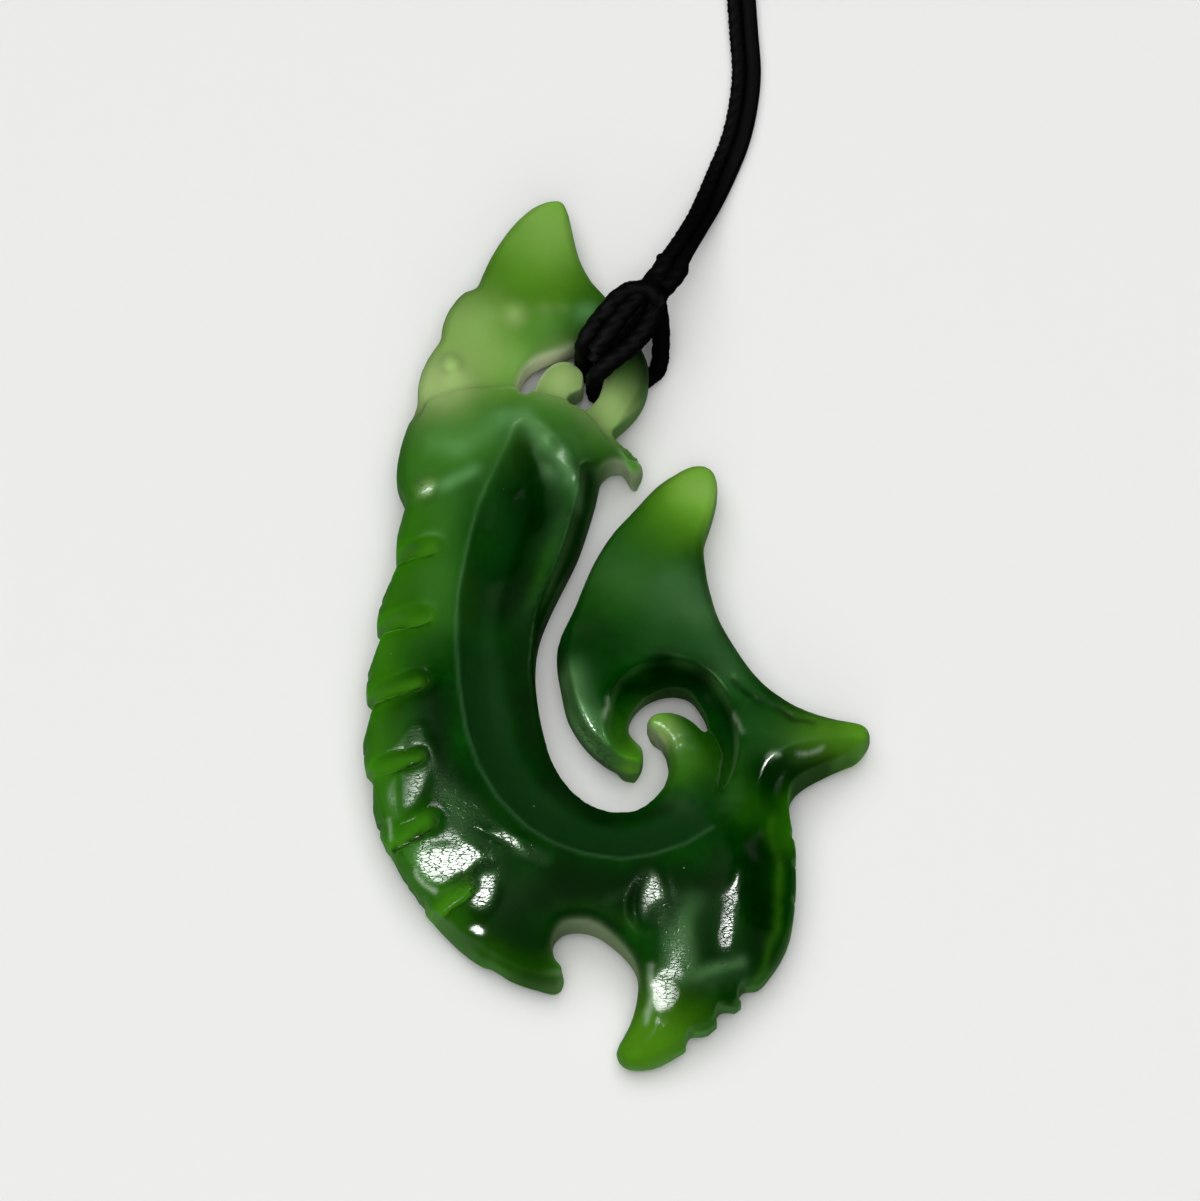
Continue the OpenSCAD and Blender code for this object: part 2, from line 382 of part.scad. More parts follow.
cross_turn = [[-1, 22.6, 6.8], [-0.2, 23.8, 7.2], [1, 24.7, 7.2], [2.3, 24.7, 7.1], [3.2, 23.9, 6.5]];
neck_ends = [[[3.3, 27, 5.75], [2.2, 25.4, 6.2]], [[4.4, 26.6, 5.75], [3.3, 25, 6.2]]];

module cord_beads(points) {
    for (i = [0 : len(points) - 2]) hull() {
        translate(points[i]) sphere(d = cord_d, $fn = 10);
        translate(points[i + 1]) sphere(d = cord_d, $fn = 10);
    }
}

module hitch_knot() {
    color("black") centred() for (turn = concat([left_turn, right_turn, middle_turn, under_turn, cross_turn],
        neck_ends))
        cord_beads(turn);
}

// Middle line of the strand pair from the hitch to the place where the two strands part
pair_route = [[4.1, 27.6, 5.4], [4.9, 29.4, 4.4], [5.9, 31.8, 2.8], [6.8, 34.2, 1.4], [7.7, 36.6, 0.7],
    [8.6, 39, 0.6], [9.2, 41.6, 0.6], [9.5, 44.6, 0.6], [9.3, 48, 0.6], [9.1, 51.5, 0.6]];
pair_gap = 0.1;
loop_wide = 1.35;
loop_steps = 58;

function loop_unit(t) = [loop_wide * sin(t) * sin(t / 2) ^ 2, 1 - cos(t)];
function route_length(r, i = 0) = i < len(r) - 1 ? norm(r[i + 1] - r[i]) + route_length(r, i + 1) : 0;
function side_step(r, i) = let (d = flat(r[min(len(r) - 1, i + 1)]) - flat(r[max(0, i - 1)]))
    [d[Y], -d[X], 0] / norm(d) * (cord_d + pair_gap) / 2;
left_strand = [for (i = [0 : len(pair_route) - 1]) pair_route[i] - side_step(pair_route, i)];
right_strand = [for (i = [len(pair_route) - 1 : -1 : 0]) pair_route[i] + side_step(pair_route, i)];
pair_end = pair_route[len(pair_route) - 1];
unit_loop = [for (i = [1 : loop_steps - 1]) loop_unit(i * tau / loop_steps)];
loop_rest = cord_length - 2 * route_length(pair_route);
loop_scale = loop_rest / route_length(concat([[0, 0]], unit_loop, [[0, 0]]));
neck_loop = [for (i = [0 : len(unit_loop) - 1]) let (side = i < len(unit_loop) / 2 ? -1 : 1, u = unit_loop[i])
    [pair_end[X] - u[X] * loop_scale + side * (cord_d + pair_gap) / 2, pair_end[Y] + u[Y] * loop_scale,
        pair_end[Z]]];
cord_route = concat(left_strand, neck_loop, right_strand);

module tube(route, d, sides) {
    last = len(route) - 1;
    rings = [for (i = [0 : last])
        let (step = route[min(last, i + 1)] - route[max(0, i - 1)], dir = step / norm(step),
            side = cross(dir, [0, 0, 1]) / norm(cross(dir, [0, 0, 1])), up = cross(side, dir))
        each [for (s = [0 : sides - 1]) let (a = (s + 0.5) * tau / sides)
            route[i] + (side * cos(a) + up * sin(a)) * d / 2]];
    skin = [for (i = [0 : last - 1]) for (s = [0 : sides - 1])
        let (n = (s + 1) % sides, k = i * sides)
        each [[k + s, k + n, k + sides + n], [k + s, k + sides + n, k + sides + s]]];
    first_cap = [[for (s = [sides - 1 : -1 : 0]) s]];
    last_cap = [[for (s = [0 : sides - 1]) last * sides + s]];
    polyhedron(rings, concat(skin, first_cap, last_cap), convexity = 10);
}

module neck_cord() {
    color("black") centred() tube(cord_route, cord_d, 8);
}

greenstone_carving();
hitch_knot();
neck_cord();
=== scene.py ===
import bpy
import math
import numpy as np
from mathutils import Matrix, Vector, kdtree, noise
from mathutils.bvhtree import BVHTree


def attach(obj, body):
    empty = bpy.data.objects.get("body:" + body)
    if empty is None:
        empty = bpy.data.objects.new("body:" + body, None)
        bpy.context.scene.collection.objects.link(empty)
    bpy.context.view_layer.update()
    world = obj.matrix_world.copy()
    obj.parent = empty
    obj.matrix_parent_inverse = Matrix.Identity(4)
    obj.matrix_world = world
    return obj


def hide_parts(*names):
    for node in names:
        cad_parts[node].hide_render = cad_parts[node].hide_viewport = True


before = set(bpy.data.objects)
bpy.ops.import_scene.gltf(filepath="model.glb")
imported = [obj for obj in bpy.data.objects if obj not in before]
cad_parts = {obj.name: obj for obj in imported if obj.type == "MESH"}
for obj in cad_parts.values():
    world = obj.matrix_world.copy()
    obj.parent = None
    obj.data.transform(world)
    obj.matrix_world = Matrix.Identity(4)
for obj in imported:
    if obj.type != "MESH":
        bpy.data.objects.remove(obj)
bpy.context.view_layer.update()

mm = 0.001
stoneMid = (0.0, 0.4)  # the carving was drawn round this point, in mm, as in the part's source


def clearSelection():
    if bpy.context.object and bpy.context.object.mode != "OBJECT":
        bpy.ops.object.mode_set(mode="OBJECT")
    bpy.ops.object.select_all(action="DESELECT")


def pick(obj):
    clearSelection()
    obj.select_set(True)
    bpy.context.view_layer.objects.active = obj


def applyModifier(obj, kind, **values):
    pick(obj)
    bpy.ops.object.modifier_add(type=kind)
    mod = obj.modifiers[-1]
    for key, value in values.items():
        setattr(mod, key, value)
    bpy.ops.object.modifier_apply(modifier=mod.name)


def placed(point):
    # a point in mm, as drawn, to metres in the frame
    return Vector(((point[0] - stoneMid[0]) * mm, (point[1] - stoneMid[1]) * mm, point[2] * mm))


clearSelection()

# Camera at the photo's angle: from below the pendant's feet, high over the table
cameraFacts = {
    "elevation": 69.0,
    "distance": 0.9,
    "target": (-1.17, 2.25, 3.5),
    "frameHigh": 85.8,
    "sensor": 36.0,
    "clipEnd": 10,
}


def addCamera(facts):
    up = math.radians(facts["elevation"])
    target = placed(facts["target"])
    away = Vector((0, -math.cos(up), math.sin(up)))
    spot = target + away * facts["distance"]
    bpy.ops.object.camera_add(location=spot, rotation=(-away).to_track_quat("-Z", "Y").to_euler())
    cam = bpy.context.object
    cam.name = "photoCamera"
    cam.data.sensor_width = facts["sensor"]
    cam.data.lens = facts["sensor"] * facts["distance"] / (facts["frameHigh"] * mm)
    cam.data.clip_end = facts["clipEnd"]
    bpy.context.scene.camera = cam


addCamera(cameraFacts)
print("camera set")

# The neck cord: the same route as the part's source, rounded through its points and laid with a twist
cordFacts = {
    "diameter": 1.16,
    "pitch": 1.06,
    "length": 600,
    "route": [(4.1, 27.6, 5.4), (4.9, 29.4, 4.4), (5.9, 31.8, 2.8), (6.8, 34.2, 1.4), (7.7, 36.6, 0.7),
              (8.6, 39, 0.6), (9.2, 41.6, 0.6), (9.5, 44.6, 0.6), (9.3, 48, 0.6), (9.1, 51.5, 0.6)],
    "lean": [20, 48, 52, 36, 12, 0, 0, 0, 0, 0],
    "loopWide": 1.35,
    "loopSteps": 58,
    "ringEvery": 0.45,
    "twistPitch": 3.2,
    "plies": 3,
    "plyDepth": 0.1,
}


# What every strand shares
strandFacts = {
    "sides": 18,
    "mergeWithin": 0.01,
    "smoothAngle": 60,
    "splineSteps": 3,
}


def splinePoint(a, b, c, d, t):
    square = 2 * a - 5 * b + 4 * c - d
    cube = 3 * b - a - 3 * c + d
    return 0.5 * (2 * b + (c - a) * t + square * t * t + cube * t ** 3)


def smoothRoute(points, spacing, closed=False):
    # evenly spaced points on a smooth curve through the given ones
    pts = [Vector(p) for p in points]
    n = len(pts)
    dense = []
    for i in range(n if closed else n - 1):
        if closed:
            a, b, c, d = pts[i - 1], pts[i], pts[(i + 1) % n], pts[(i + 2) % n]
        else:
            a, b, c, d = pts[max(0, i - 1)], pts[i], pts[i + 1], pts[min(n - 1, i + 2)]
        steps = max(4, int((c - b).length / spacing * strandFacts["splineSteps"]))
        dense += [splinePoint(a, b, c, d, s / steps) for s in range(steps)]
    dense.append(pts[0] if closed else pts[-1])
    marks = [0.0]
    for p, q in zip(dense, dense[1:]):
        marks.append(marks[-1] + (q - p).length)
    count = max(2, int(round(marks[-1] / spacing)))
    even = []
    k = 0
    for i in range(count + 1):
        want = marks[-1] * i / count
        while k < len(marks) - 2 and marks[k + 1] < want:
            k += 1
        span = marks[k + 1] - marks[k]
        even.append(dense[k].lerp(dense[k + 1], (want - marks[k]) / span if span > 0 else 0))
    return even[:-1] if closed else even


def strandSides(route, half, lean):
    # the two strands beside the middle line; where they lean, the left one rides over the right one
    left, right = [], []
    for i, p in enumerate(route):
        step = Vector(route[min(len(route) - 1, i + 1)]) - Vector(route[max(0, i - 1)])
        step.z = 0
        side = Vector((step.y, -step.x, 0)).normalized() * half
        turn = math.radians(lean[i])
        off = side * math.cos(turn) - Vector((0, 0, half * math.sin(turn)))
        left.append(Vector(p) - off)
        right.append(Vector(p) + off)
    return left, right


def routeLength(points):
    return sum((Vector(q) - Vector(p)).length for p, q in zip(points, points[1:]))


def neckRoute(facts):
    half = facts["pitch"] / 2
    left, right = strandSides(facts["route"], half, facts["lean"])
    steps = facts["loopSteps"]
    unit = []
    for i in range(1, steps):
        t = 2 * math.pi * i / steps
        unit.append(Vector((facts["loopWide"] * math.sin(t) * math.sin(t / 2) ** 2, 1 - math.cos(t), 0)))
    around = routeLength([(0, 0, 0)] + unit + [(0, 0, 0)])
    scale = (facts["length"] - 2 * routeLength(facts["route"])) / around
    end = Vector(facts["route"][-1])
    loop = []
    for i, u in enumerate(unit):
        side = -half if i < len(unit) / 2 else half
        loop.append(Vector((end.x - u.x * scale + side, end.y + u.y * scale, end.z)))
    return left + loop + right[::-1]


def plyProfile(facts):
    # the cord's cross-section: three plies that bulge a little from a round core
    pts = []
    sides = strandFacts["sides"]
    for s in range(sides):
        a = 2 * math.pi * s / sides
        bulge = abs(math.cos(a * facts["plies"] / 2))
        r = facts["diameter"] / 2 * (1 - facts["plyDepth"] * (1 - bulge))
        pts.append((r * math.cos(a) * mm, r * math.sin(a) * mm))
    bpy.ops.curve.primitive_bezier_circle_add()
    ring = bpy.context.object
    ring.name = "plyProfile"
    ring.data.splines.clear()
    line = ring.data.splines.new("POLY")
    line.points.add(sides - 1)
    for p, (x, y) in zip(line.points, pts):
        p.co = (x, y, 0, 1)
    line.use_cyclic_u = True
    ring.data.dimensions = "2D"
    return ring


def layCord(name, points, facts, closed=False):
    clearSelection()
    ring = plyProfile(facts)
    clearSelection()
    even = smoothRoute(points, facts["ringEvery"], closed)
    bpy.ops.curve.primitive_nurbs_path_add()
    path = bpy.context.object
    path.name = name
    path.data.splines.clear()
    line = path.data.splines.new("POLY")
    line.points.add(len(even) - 1)
    for i, (p, q) in enumerate(zip(line.points, even)):
        p.co = (*placed(q), 1)
        p.tilt = 2 * math.pi * i * facts["ringEvery"] / facts["twistPitch"]
    line.use_cyclic_u = closed
    path.data.dimensions = "3D"
    path.data.twist_mode = "MINIMUM"
    path.data.bevel_mode = "OBJECT"
    path.data.bevel_object = ring
    path.data.use_fill_caps = not closed
    pick(path)
    bpy.ops.object.convert(target="MESH")
    piece = bpy.context.object
    bpy.data.objects.remove(ring)
    pick(piece)
    bpy.ops.object.mode_set(mode="EDIT")
    bpy.ops.mesh.select_all(action="SELECT")
    bpy.ops.mesh.remove_doubles(threshold=strandFacts["mergeWithin"] * mm)
    bpy.ops.mesh.normals_make_consistent(inside=False)
    bpy.ops.object.mode_set(mode="OBJECT")
    bpy.ops.object.shade_smooth_by_angle(angle=math.radians(strandFacts["smoothAngle"]))
    return piece


neckCord = layCord("neck_cord_strands", neckRoute(cordFacts), cordFacts)
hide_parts("neck_cord")
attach(neckCord, "root")
print("neck cord laid")

# The hitch: the same turns as the part's source, each (points, closed) and a rounded cord of its own
hitchFacts = {
    "diameter": 1.36,
    "ringEvery": 0.28,
    "twistPitch": 3.2,
    "plies": 3,
    "plyDepth": 0.1,
}
hitchTurns = {
    "left": ([(2.6, 25.1, 5.4), (1.2, 25, 6.2), (-0.4, 23.8, 6.3), (-1.6, 22.3, 6.2), (-2.3, 21.2, 5.6),
              (-2.35, 20.75, 3.8), (-2.3, 20.75, 1.4), (-2, 20.9, 0.75), (-0.2, 21.8, 0.75), (1.2, 23, 0.75),
              (2.3, 24.2, 1.4), (2.8, 24.9, 3.2)], True),
    "right": ([(2.9, 24.3, 5.9), (2.5, 22.8, 6.3), (1.8, 21.6, 6.3), (0.9, 20.6, 6.2), (0, 19.9, 6.1),
               (-0.9, 19.2, 5.8), (-1.5, 18.9, 5), (-1.5, 19, 3.4), (-1.5, 19.1, 1.4), (-1.2, 19.2, 0.75),
               (0.4, 19.6, 0.75), (2, 20.3, 0.75), (3, 21, 1.3), (3.2, 22, 2.6), (3.2, 23.2, 4.3)], True),
    "middle": ([(3, 26, 6), (1.9, 24.7, 6.8), (0.5, 23, 7), (-0.6, 21.4, 6.8), (-1.5, 20.4, 6.1)], False),
    "under": ([(2.6, 25, 5.7), (1.3, 23.6, 5.8), (0.1, 22.1, 5.8), (-0.9, 20.9, 5.7),
               (-1.6, 20, 5.2)], False),
    "cross": ([(-1, 22.6, 6.8), (-0.2, 23.8, 7.2), (1, 24.7, 7.2), (2.3, 24.7, 7.1),
               (3.2, 23.9, 6.5)], False),
    "inner": ([(3, 24.6, 5.4), (2.1, 23.9, 5.5), (1.1, 23, 5.5), (0.2, 22, 5.6), (-0.7, 21, 5.6)], False),
    "neckLeft": ([(3.54, 27.83, 5.6), (3.3, 27, 5.85), (2.2, 25.4, 6.2)], False),
    "neckRight": ([(4.62, 27.38, 5.2), (4.4, 26.6, 5.6), (3.3, 25, 6.2)], False),
}


def tieHitch(turns, facts):
    parts = [layCord("hitch_" + name, points, facts, closed) for name, (points, closed) in turns.items()]
    clearSelection()
    for part in parts:
        part.select_set(True)
    bpy.context.view_layer.objects.active = parts[0]
    bpy.ops.object.join()
    hitch = bpy.context.object
    hitch.name = "hitch_cords"
    return hitch


hitch = tieHitch(hitchTurns, hitchFacts)
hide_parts("hitch_knot")
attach(hitch, "root")
print("hitch tied")

# The carving: the solid's own mesh, remeshed finely, its broad faces smoothed and its crisp ridges kept
stoneFacts = {
    "mergeWithin": 0.002,
    "voxel": 0.218,
    "creaseAngle": 26,
    "creaseReach": 0.7,
    "creaseSpacing": 0.15,
    "backHigh": 1.2,  # every crease below this height stays
    "fairPairs": 70,
    "fairShares": (0.6, -0.61),
    "softPasses": 10,
    "softShare": 0.5,
    "finishPasses": 3,
    "finishShare": 0.4,
    "upperFrom": 0.35,
    "upperOver": 0.3,
    "facetRim": 1.4,
    "facetFade": 0.6,
    "facetMiddle": 0.4,
    "facetTop": 0.5,
    "facetKeep": 1.6,
    "facetDepth": 0.3,
    "crispReach": 0.5,
    "crispShare": 0.9,
    "rimHigh": 3.0,
    "rimFade": 1.8,
}
spotFall = 1.2  # how fast a soft spot or stripe fades with the square of the distance
# Round places where the carving has no crisp line, [x, y, reach] in mm as drawn
calmPlaces = [
    (-6.5, 14.5, 3.4), (-9.2, 10, 2.6), (-4.5, 11.5, 2), (-6.5, 6.5, 2), (6.5, -22, 3.2), (7, -26.5, 2),
    (4, -24.5, 2.6), (-12.5, -12, 3.2), (-4, 21.5, 2.4), (-6.6, 19.5, 1.6), (0.7, 1, 3), (2.5, -0.5, 3),
    (-6, -24.5, 1.8), (-13.4, 5.6, 1.3), (-14, 0.2, 1.3), (-14.2, -4.7, 1.3), (-14.3, -10.4, 1.3),
    (-13.4, -15, 1.3), (-10.8, -19.6, 1.3),
]
# Flat facets left by the carving wheel: [x, y, reach along, reach across, turn of the long side,
# slope to the right, slope to the back, share]
facets = [
    (-14.4, -9.1, 1.1, 0.7, 50, 0.36, 0.26, 0.6), (-14.2, -11.6, 3, 1.1, 78, 0.36, 0.26, 0.7),
    (-16.1, -13.2, 1.2, 0.6, 80, 0.38, 0.26, 0.7), (-2, -8.8, 3.4, 1.5, -68, 0.36, 0.24, 0.45),
    (-11.3, -19, 3, 1.6, -28, 0.38, 0.3, 0.9), (-9.9, -18.6, 1.6, 1, -40, 0.35, 0.27, 0.9),
    (-13.5, 9.9, 0.9, 0.7, 70, 0.35, 0.27, 0.9), (-9.4, -20.4, 1.5, 1, 80, 0.35, 0.27, 0.9),
    (-9.9, -23, 0.9, 0.7, -60, 0.36, 0.3, 1), (-7.3, -17.1, 2.3, 0.5, -24, 0.35, 0.27, 0.9),
    (2.8, -21.2, 2.1, 1.5, 64, 0.36, 0.27, 0.8), (4.3, -24.3, 2.4, 1.4, -65, 0.24, 0.24, 0.6),
    (3.2, -27.8, 1.3, 0.8, 75, 0.35, 0.26, 1), (3.5, -29.8, 0.6, 0.4, 60, 0.35, 0.27, 0.8),
    (8.1, -21.6, 2.8, 0.45, 77, -0.29, 0.18, 1),
]
# Raised and sunken lines, [(x, y), (x, y), reach, height], and raised or sunken spots, [x, y, reach, height]
carvedLines = [
    ((-13.2, 13.1), (-11.4, 13), 0.9, 0.08), ((-11.4, 13), (-8.2, 14.8), 0.9, 0.12),
    ((-8.2, 14.8), (-6.8, 15), 0.9, 0.12), ((-6.1, 14.3), (-5, 13), 0.6, 0.16),
    ((-5, 13), (-3.2, 10.9), 0.6, 0.14), ((8.5, -4.6), (10.1, -6.2), 0.3, -0.2),
    ((10.1, -6.2), (12.5, -7.3), 0.3, -0.22), ((12.5, -7.3), (14, -7.7), 0.3, -0.15),
    ((-11.6, 24.6), (-8.2, 24), 1, 0.1), ((-8.2, 24), (-4, 24.6), 0.9, 0.12),
    ((-4, 24.6), (-1.4, 23.6), 0.9, 0.1),
]
carvedSpots = [
    (8.4, -14, 0.28, -0.2), (7.6, -14.9, 0.28, -0.2), (4.6, -9.6, 0.24, -0.14), (5.1, -8.9, 0.22, -0.14),
    (4.4, -8.9, 0.2, -0.12), (5.4, -10, 0.22, -0.14), (3.9, -9.2, 0.2, -0.1), (-7.3, 23.7, 0.5, 0.12),
    (-4, 24.3, 0.4, 0.1), (-11.6, 18.8, 2, -0.32), (-11.6, 18.8, 1.3, 0.62),
]
# The low edges of the belly and the spike reach out further:
# [(x, y), (x, y), reach, move to the right, move to the back]
rimPushes = [
    ((-13.4, -21.6), (-9.5, -24.5), 1.3, -0.3, -0.45), ((-7.4, -25.5), (-4.4, -26.2), 1.3, -0.05, -0.5),
    ((-4.4, -25.8), (-3.9, -26), 0.8, 0.3, -0.1), ((12.9, -12.2), (16.6, -9.4), 1.8, 0.25, -0.5),
]
# Where the notches and the small teeth of the edge stay crisp, [x, y, reach]
crispPlaces = [
    (-16, 5, 2), (-17, 2.5, 2), (-17, -1, 2.2), (-17.8, -3.5, 2), (-17.6, -6.5, 2.2), (-18, -9, 2),
    (-17.8, -12, 2.2), (-17, -14.5, 2), (-16.6, -17, 2.2), (-15, -19, 1.8), (-13.4, -21.4, 1.6),
    (12.6, -17, 2.2), (12.6, -20.5, 1.6), (9.4, -27.2, 1.6), (7.6, -28.8, 1.6), (5.6, -30.4, 1.6),
]


def meshPoints(obj):
    co = np.empty(len(obj.data.vertices) * 3, dtype=np.float32)
    obj.data.vertices.foreach_get("co", co)
    return co.reshape(-1, 3).astype(float)


def setPoints(obj, co):
    obj.data.vertices.foreach_set("co", co.astype(np.float32).ravel())
    obj.data.update()


def pointNormals(obj):
    out = np.empty(len(obj.data.vertices) * 3, dtype=np.float32)
    obj.data.vertex_normals.foreach_get("vector", out)
    return out.reshape(-1, 3).astype(float)


def neighbours(obj):
    # each point's neighbours in one sorted list, with the place where its own begin
    ends = np.empty(len(obj.data.edges) * 2, dtype=np.int32)
    obj.data.edges.foreach_get("vertices", ends)
    ends = ends.reshape(-1, 2)
    near = np.concatenate([ends, ends[:, ::-1]])
    near = near[np.argsort(near[:, 0], kind="stable")]
    counts = np.bincount(near[:, 0], minlength=len(obj.data.vertices))
    starts = np.concatenate([[0], np.cumsum(counts)[:-1]])
    return near[:, 1], starts, counts


def relaxed(values, web, share):
    far, starts, counts = web
    mean = np.add.reduceat(values[far], starts, axis=0) / counts[:, None]
    return values + share * (mean - values)


def copyNode(node, name, facts):
    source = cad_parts[node]
    obj = source.copy()
    obj.data = source.data.copy()
    obj.parent = None
    for key in list(obj.keys()):
        del obj[key]
    obj.name = name
    bpy.context.scene.collection.objects.link(obj)
    pick(obj)
    bpy.ops.object.mode_set(mode="EDIT")
    bpy.ops.mesh.select_all(action="SELECT")
    bpy.ops.mesh.remove_doubles(threshold=facts["mergeWithin"] * mm)
    bpy.ops.mesh.normals_make_consistent(inside=False)
    bpy.ops.object.mode_set(mode="OBJECT")
    return obj


def surfaceTree(obj):
    return BVHTree.FromPolygons([v.co for v in obj.data.vertices], [p.vertices for p in obj.data.polygons])


def pointTree(points):
    tree = kdtree.KDTree(len(points))
    for i, p in enumerate(points):
        tree.insert(p, i)
    tree.balance()
    return tree


def inPlaces(point, places):
    x, y = point.x / mm + stoneMid[0], point.y / mm + stoneMid[1]
    return any(math.hypot(x - px, y - py) < reach for px, py, reach in places)


def creaseSpots(obj, facts):
    # points along every sharp edge of the solid, but for the places where the carving is soft
    pick(obj)
    bpy.ops.object.mode_set(mode="EDIT")
    bpy.ops.mesh.select_mode(type="EDGE")
    bpy.ops.mesh.select_all(action="DESELECT")
    bpy.ops.mesh.edges_select_sharp(sharpness=math.radians(facts["creaseAngle"]))
    bpy.ops.object.mode_set(mode="OBJECT")
    spots = []
    for edge in obj.data.edges:
        if edge.select:
            a = obj.data.vertices[edge.vertices[0]].co
            b = obj.data.vertices[edge.vertices[1]].co
            steps = max(1, int((b - a).length / (facts["creaseSpacing"] * mm)))
            spots += [a.lerp(b, i / steps) for i in range(steps + 1)]
    return [p for p in spots if p.z < facts["backHigh"] * mm or not inPlaces(p, calmPlaces)]


def drawnPlaces(co):
    return co[:, 0] / mm + stoneMid[0], co[:, 1] / mm + stoneMid[1]


def spotShare(co, x, y, reach):
    px, py = drawnPlaces(co)
    return np.exp(-spotFall * ((px - x) ** 2 + (py - y) ** 2) / reach ** 2)


def offLine(co, a, b):
    # how far each point lies from the line between a and b, to the right and to the back, in mm
    px, py = drawnPlaces(co)
    dx, dy = b[0] - a[0], b[1] - a[1]
    t = np.clip(((px - a[0]) * dx + (py - a[1]) * dy) / (dx * dx + dy * dy), 0, 1)
    return px - a[0] - t * dx, py - a[1] - t * dy


def lineShare(co, a, b, reach):
    offX, offY = offLine(co, a, b)
    return np.exp(-spotFall * (offX ** 2 + offY ** 2) / reach ** 2)


def nearLine(co, points):
    # how far each point lies from a line through the given ones, in mm
    best = np.full(len(co), np.inf)
    for a, b in zip(points, points[1:]):
        best = np.minimum(best, np.hypot(*offLine(co, a, b)))
    return best


def acrossBand(co, outer, inner):
    # 0 at the outer line, 1 at the inner one, and below 0 outside the band between them
    px, py = drawnPlaces(co)
    ring = outer + inner[::-1]
    inside = np.zeros(len(co), dtype=bool)
    for (ax, ay), (bx, by) in zip(ring, ring[1:] + ring[:1]):
        if ay != by:
            inside ^= ((ay > py) != (by > py)) & (px < (bx - ax) * (py - ay) / (by - ay) + ax)
    toOuter, toInner = nearLine(co, outer), nearLine(co, inner)
    return np.where(inside, toOuter / (toOuter + toInner + 1e-9), -1)


def planish(co, upper, facts):
    # leans the top towards a plane in each facet
    px, py = drawnPlaces(co)
    for x, y, along, across, turn, slopeX, slopeY, share in facets:
        c, s = math.cos(math.radians(turn)), math.sin(math.radians(turn))
        u = ((px - x) * c + (py - y) * s) / along
        w = ((py - y) * c - (px - x) * s) / across
        far = np.sqrt(u * u + w * w)
        part = np.clip((facts["facetRim"] - far) / facts["facetFade"], 0, 1)
        part = part * part * (3 - 2 * part) * upper * share
        middle = (far < facts["facetMiddle"]) & (upper > facts["facetTop"])
        lean = (slopeX * (px - x) + slopeY * (py - y)) * mm
        toPlane = np.median(co[middle, 2] - lean[middle]) + lean - co[:, 2]
        # the notches lie deeper and stay as they are
        part = part * np.clip(facts["facetKeep"] - toPlane / (facts["facetDepth"] * mm), 0, 1)
        co[:, 2] += part * toPlane
    return co


def pushed(co, facts):
    # the low part of the edge, moved sideways along each line
    for a, b, reach, moveX, moveY in rimPushes:
        low = np.clip((facts["rimHigh"] * mm - co[:, 2]) / (facts["rimFade"] * mm), 0, 1)
        share = lineShare(co, a, b, reach) * low
        co[:, 0] += share * moveX * mm
        co[:, 1] += share * moveY * mm
    return co


def crisped(co, creases, facts):
    # sets the points beside sharp edges back on the solid in the crisp places
    whole = surfaceTree(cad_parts["greenstone_carving"])
    for i, p in enumerate(co):
        point = Vector(p)
        if inPlaces(point, crispPlaces):
            share = facts["crispShare"] * max(0.0, 1 - creases.find(point)[2] / (facts["crispReach"] * mm))
            if share > 0:
                co[i] = point.lerp(whole.find_nearest(point)[0], share)
    return co


def carveStone(facts):
    stone = copyNode("greenstone_carving", "greenstone_pendant", facts)
    creases = pointTree(creaseSpots(stone, facts))
    applyModifier(stone, "REMESH", mode="VOXEL", voxel_size=facts["voxel"] * mm, adaptivity=0)
    reach = facts["creaseReach"] * mm
    broad = np.array([min(1.0, creases.find(v.co)[2] / reach) ** 2 for v in stone.data.vertices])[:, None]
    co = meshPoints(stone)
    web = neighbours(stone)
    for i in range(facts["fairPairs"]):
        for share in facts["fairShares"]:
            co = relaxed(co, web, share * broad)
    for i in range(facts["softPasses"]):
        co = relaxed(co, web, facts["softShare"] * broad)
    setPoints(stone, co)
    upper = np.clip((pointNormals(stone)[:, 2] - facts["upperFrom"]) / facts["upperOver"], 0, 1)
    co = planish(co, upper, facts)
    for a, b, reach, height in carvedLines:
        co[:, 2] += height * mm * upper * lineShare(co, a, b, reach)
    for x, y, reach, height in carvedSpots:
        co[:, 2] += height * mm * upper * spotShare(co, x, y, reach)
    for i in range(facts["finishPasses"]):
        co = relaxed(co, web, facts["finishShare"])
    co = crisped(co, creases, facts)
    co = pushed(co, facts)
    setPoints(stone, co)
    return stone, web


stone, stoneWeb = carveStone(stoneFacts)
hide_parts("greenstone_carving")
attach(stone, "root")
print("stone carved", len(stone.data.polygons), "faces")


# How thick the stone is under each point, and where its milky parts, its pale painted light and sheen and its
# painted shade lie, kept as attributes.
# Thickness is felt for along the normal and along ways that lean from it.
paintFacts = {
    "depthMost": 8,
    "depthStart": 0.02,
    "depthLeans": [(0, 0, 0), (0, 0, -0.8), (0, -0.7, 0)],
    "depthPasses": 12,
    "depthShare": 0.7,
    "thinFrom": 4.4,
    "thinOver": 3.4,
    "thinPower": 1.2,
    "sideFrom": 1.6,
    "sideFall": 2.6,
    "sideInCore": 0.85,
    "wander": [(0.5, 420), (0.22, 1300)],
    "wanderSeed": 3,
    "softPasses": 6,
    "softShare": 0.6,
    "fineNames": ("glint", "crevice"),
}


def stoneDepth(obj, web, facts):
    tree = surfaceTree(obj)
    normals = pointNormals(obj)
    depth = np.empty((len(normals), 1))
    for i, v in enumerate(obj.data.vertices):
        inward = Vector(-normals[i])
        best = facts["depthMost"] * mm
        for lean in facts["depthLeans"]:
            way = (inward + Vector(lean)).normalized()
            hit = tree.ray_cast(v.co + inward * facts["depthStart"] * mm, way, facts["depthMost"] * mm)[3]
            if hit is not None:
                best = min(best, hit)
        depth[i] = best
    for i in range(facts["depthPasses"]):
        depth = relaxed(depth, web, facts["depthShare"])
    return depth[:, 0] / mm


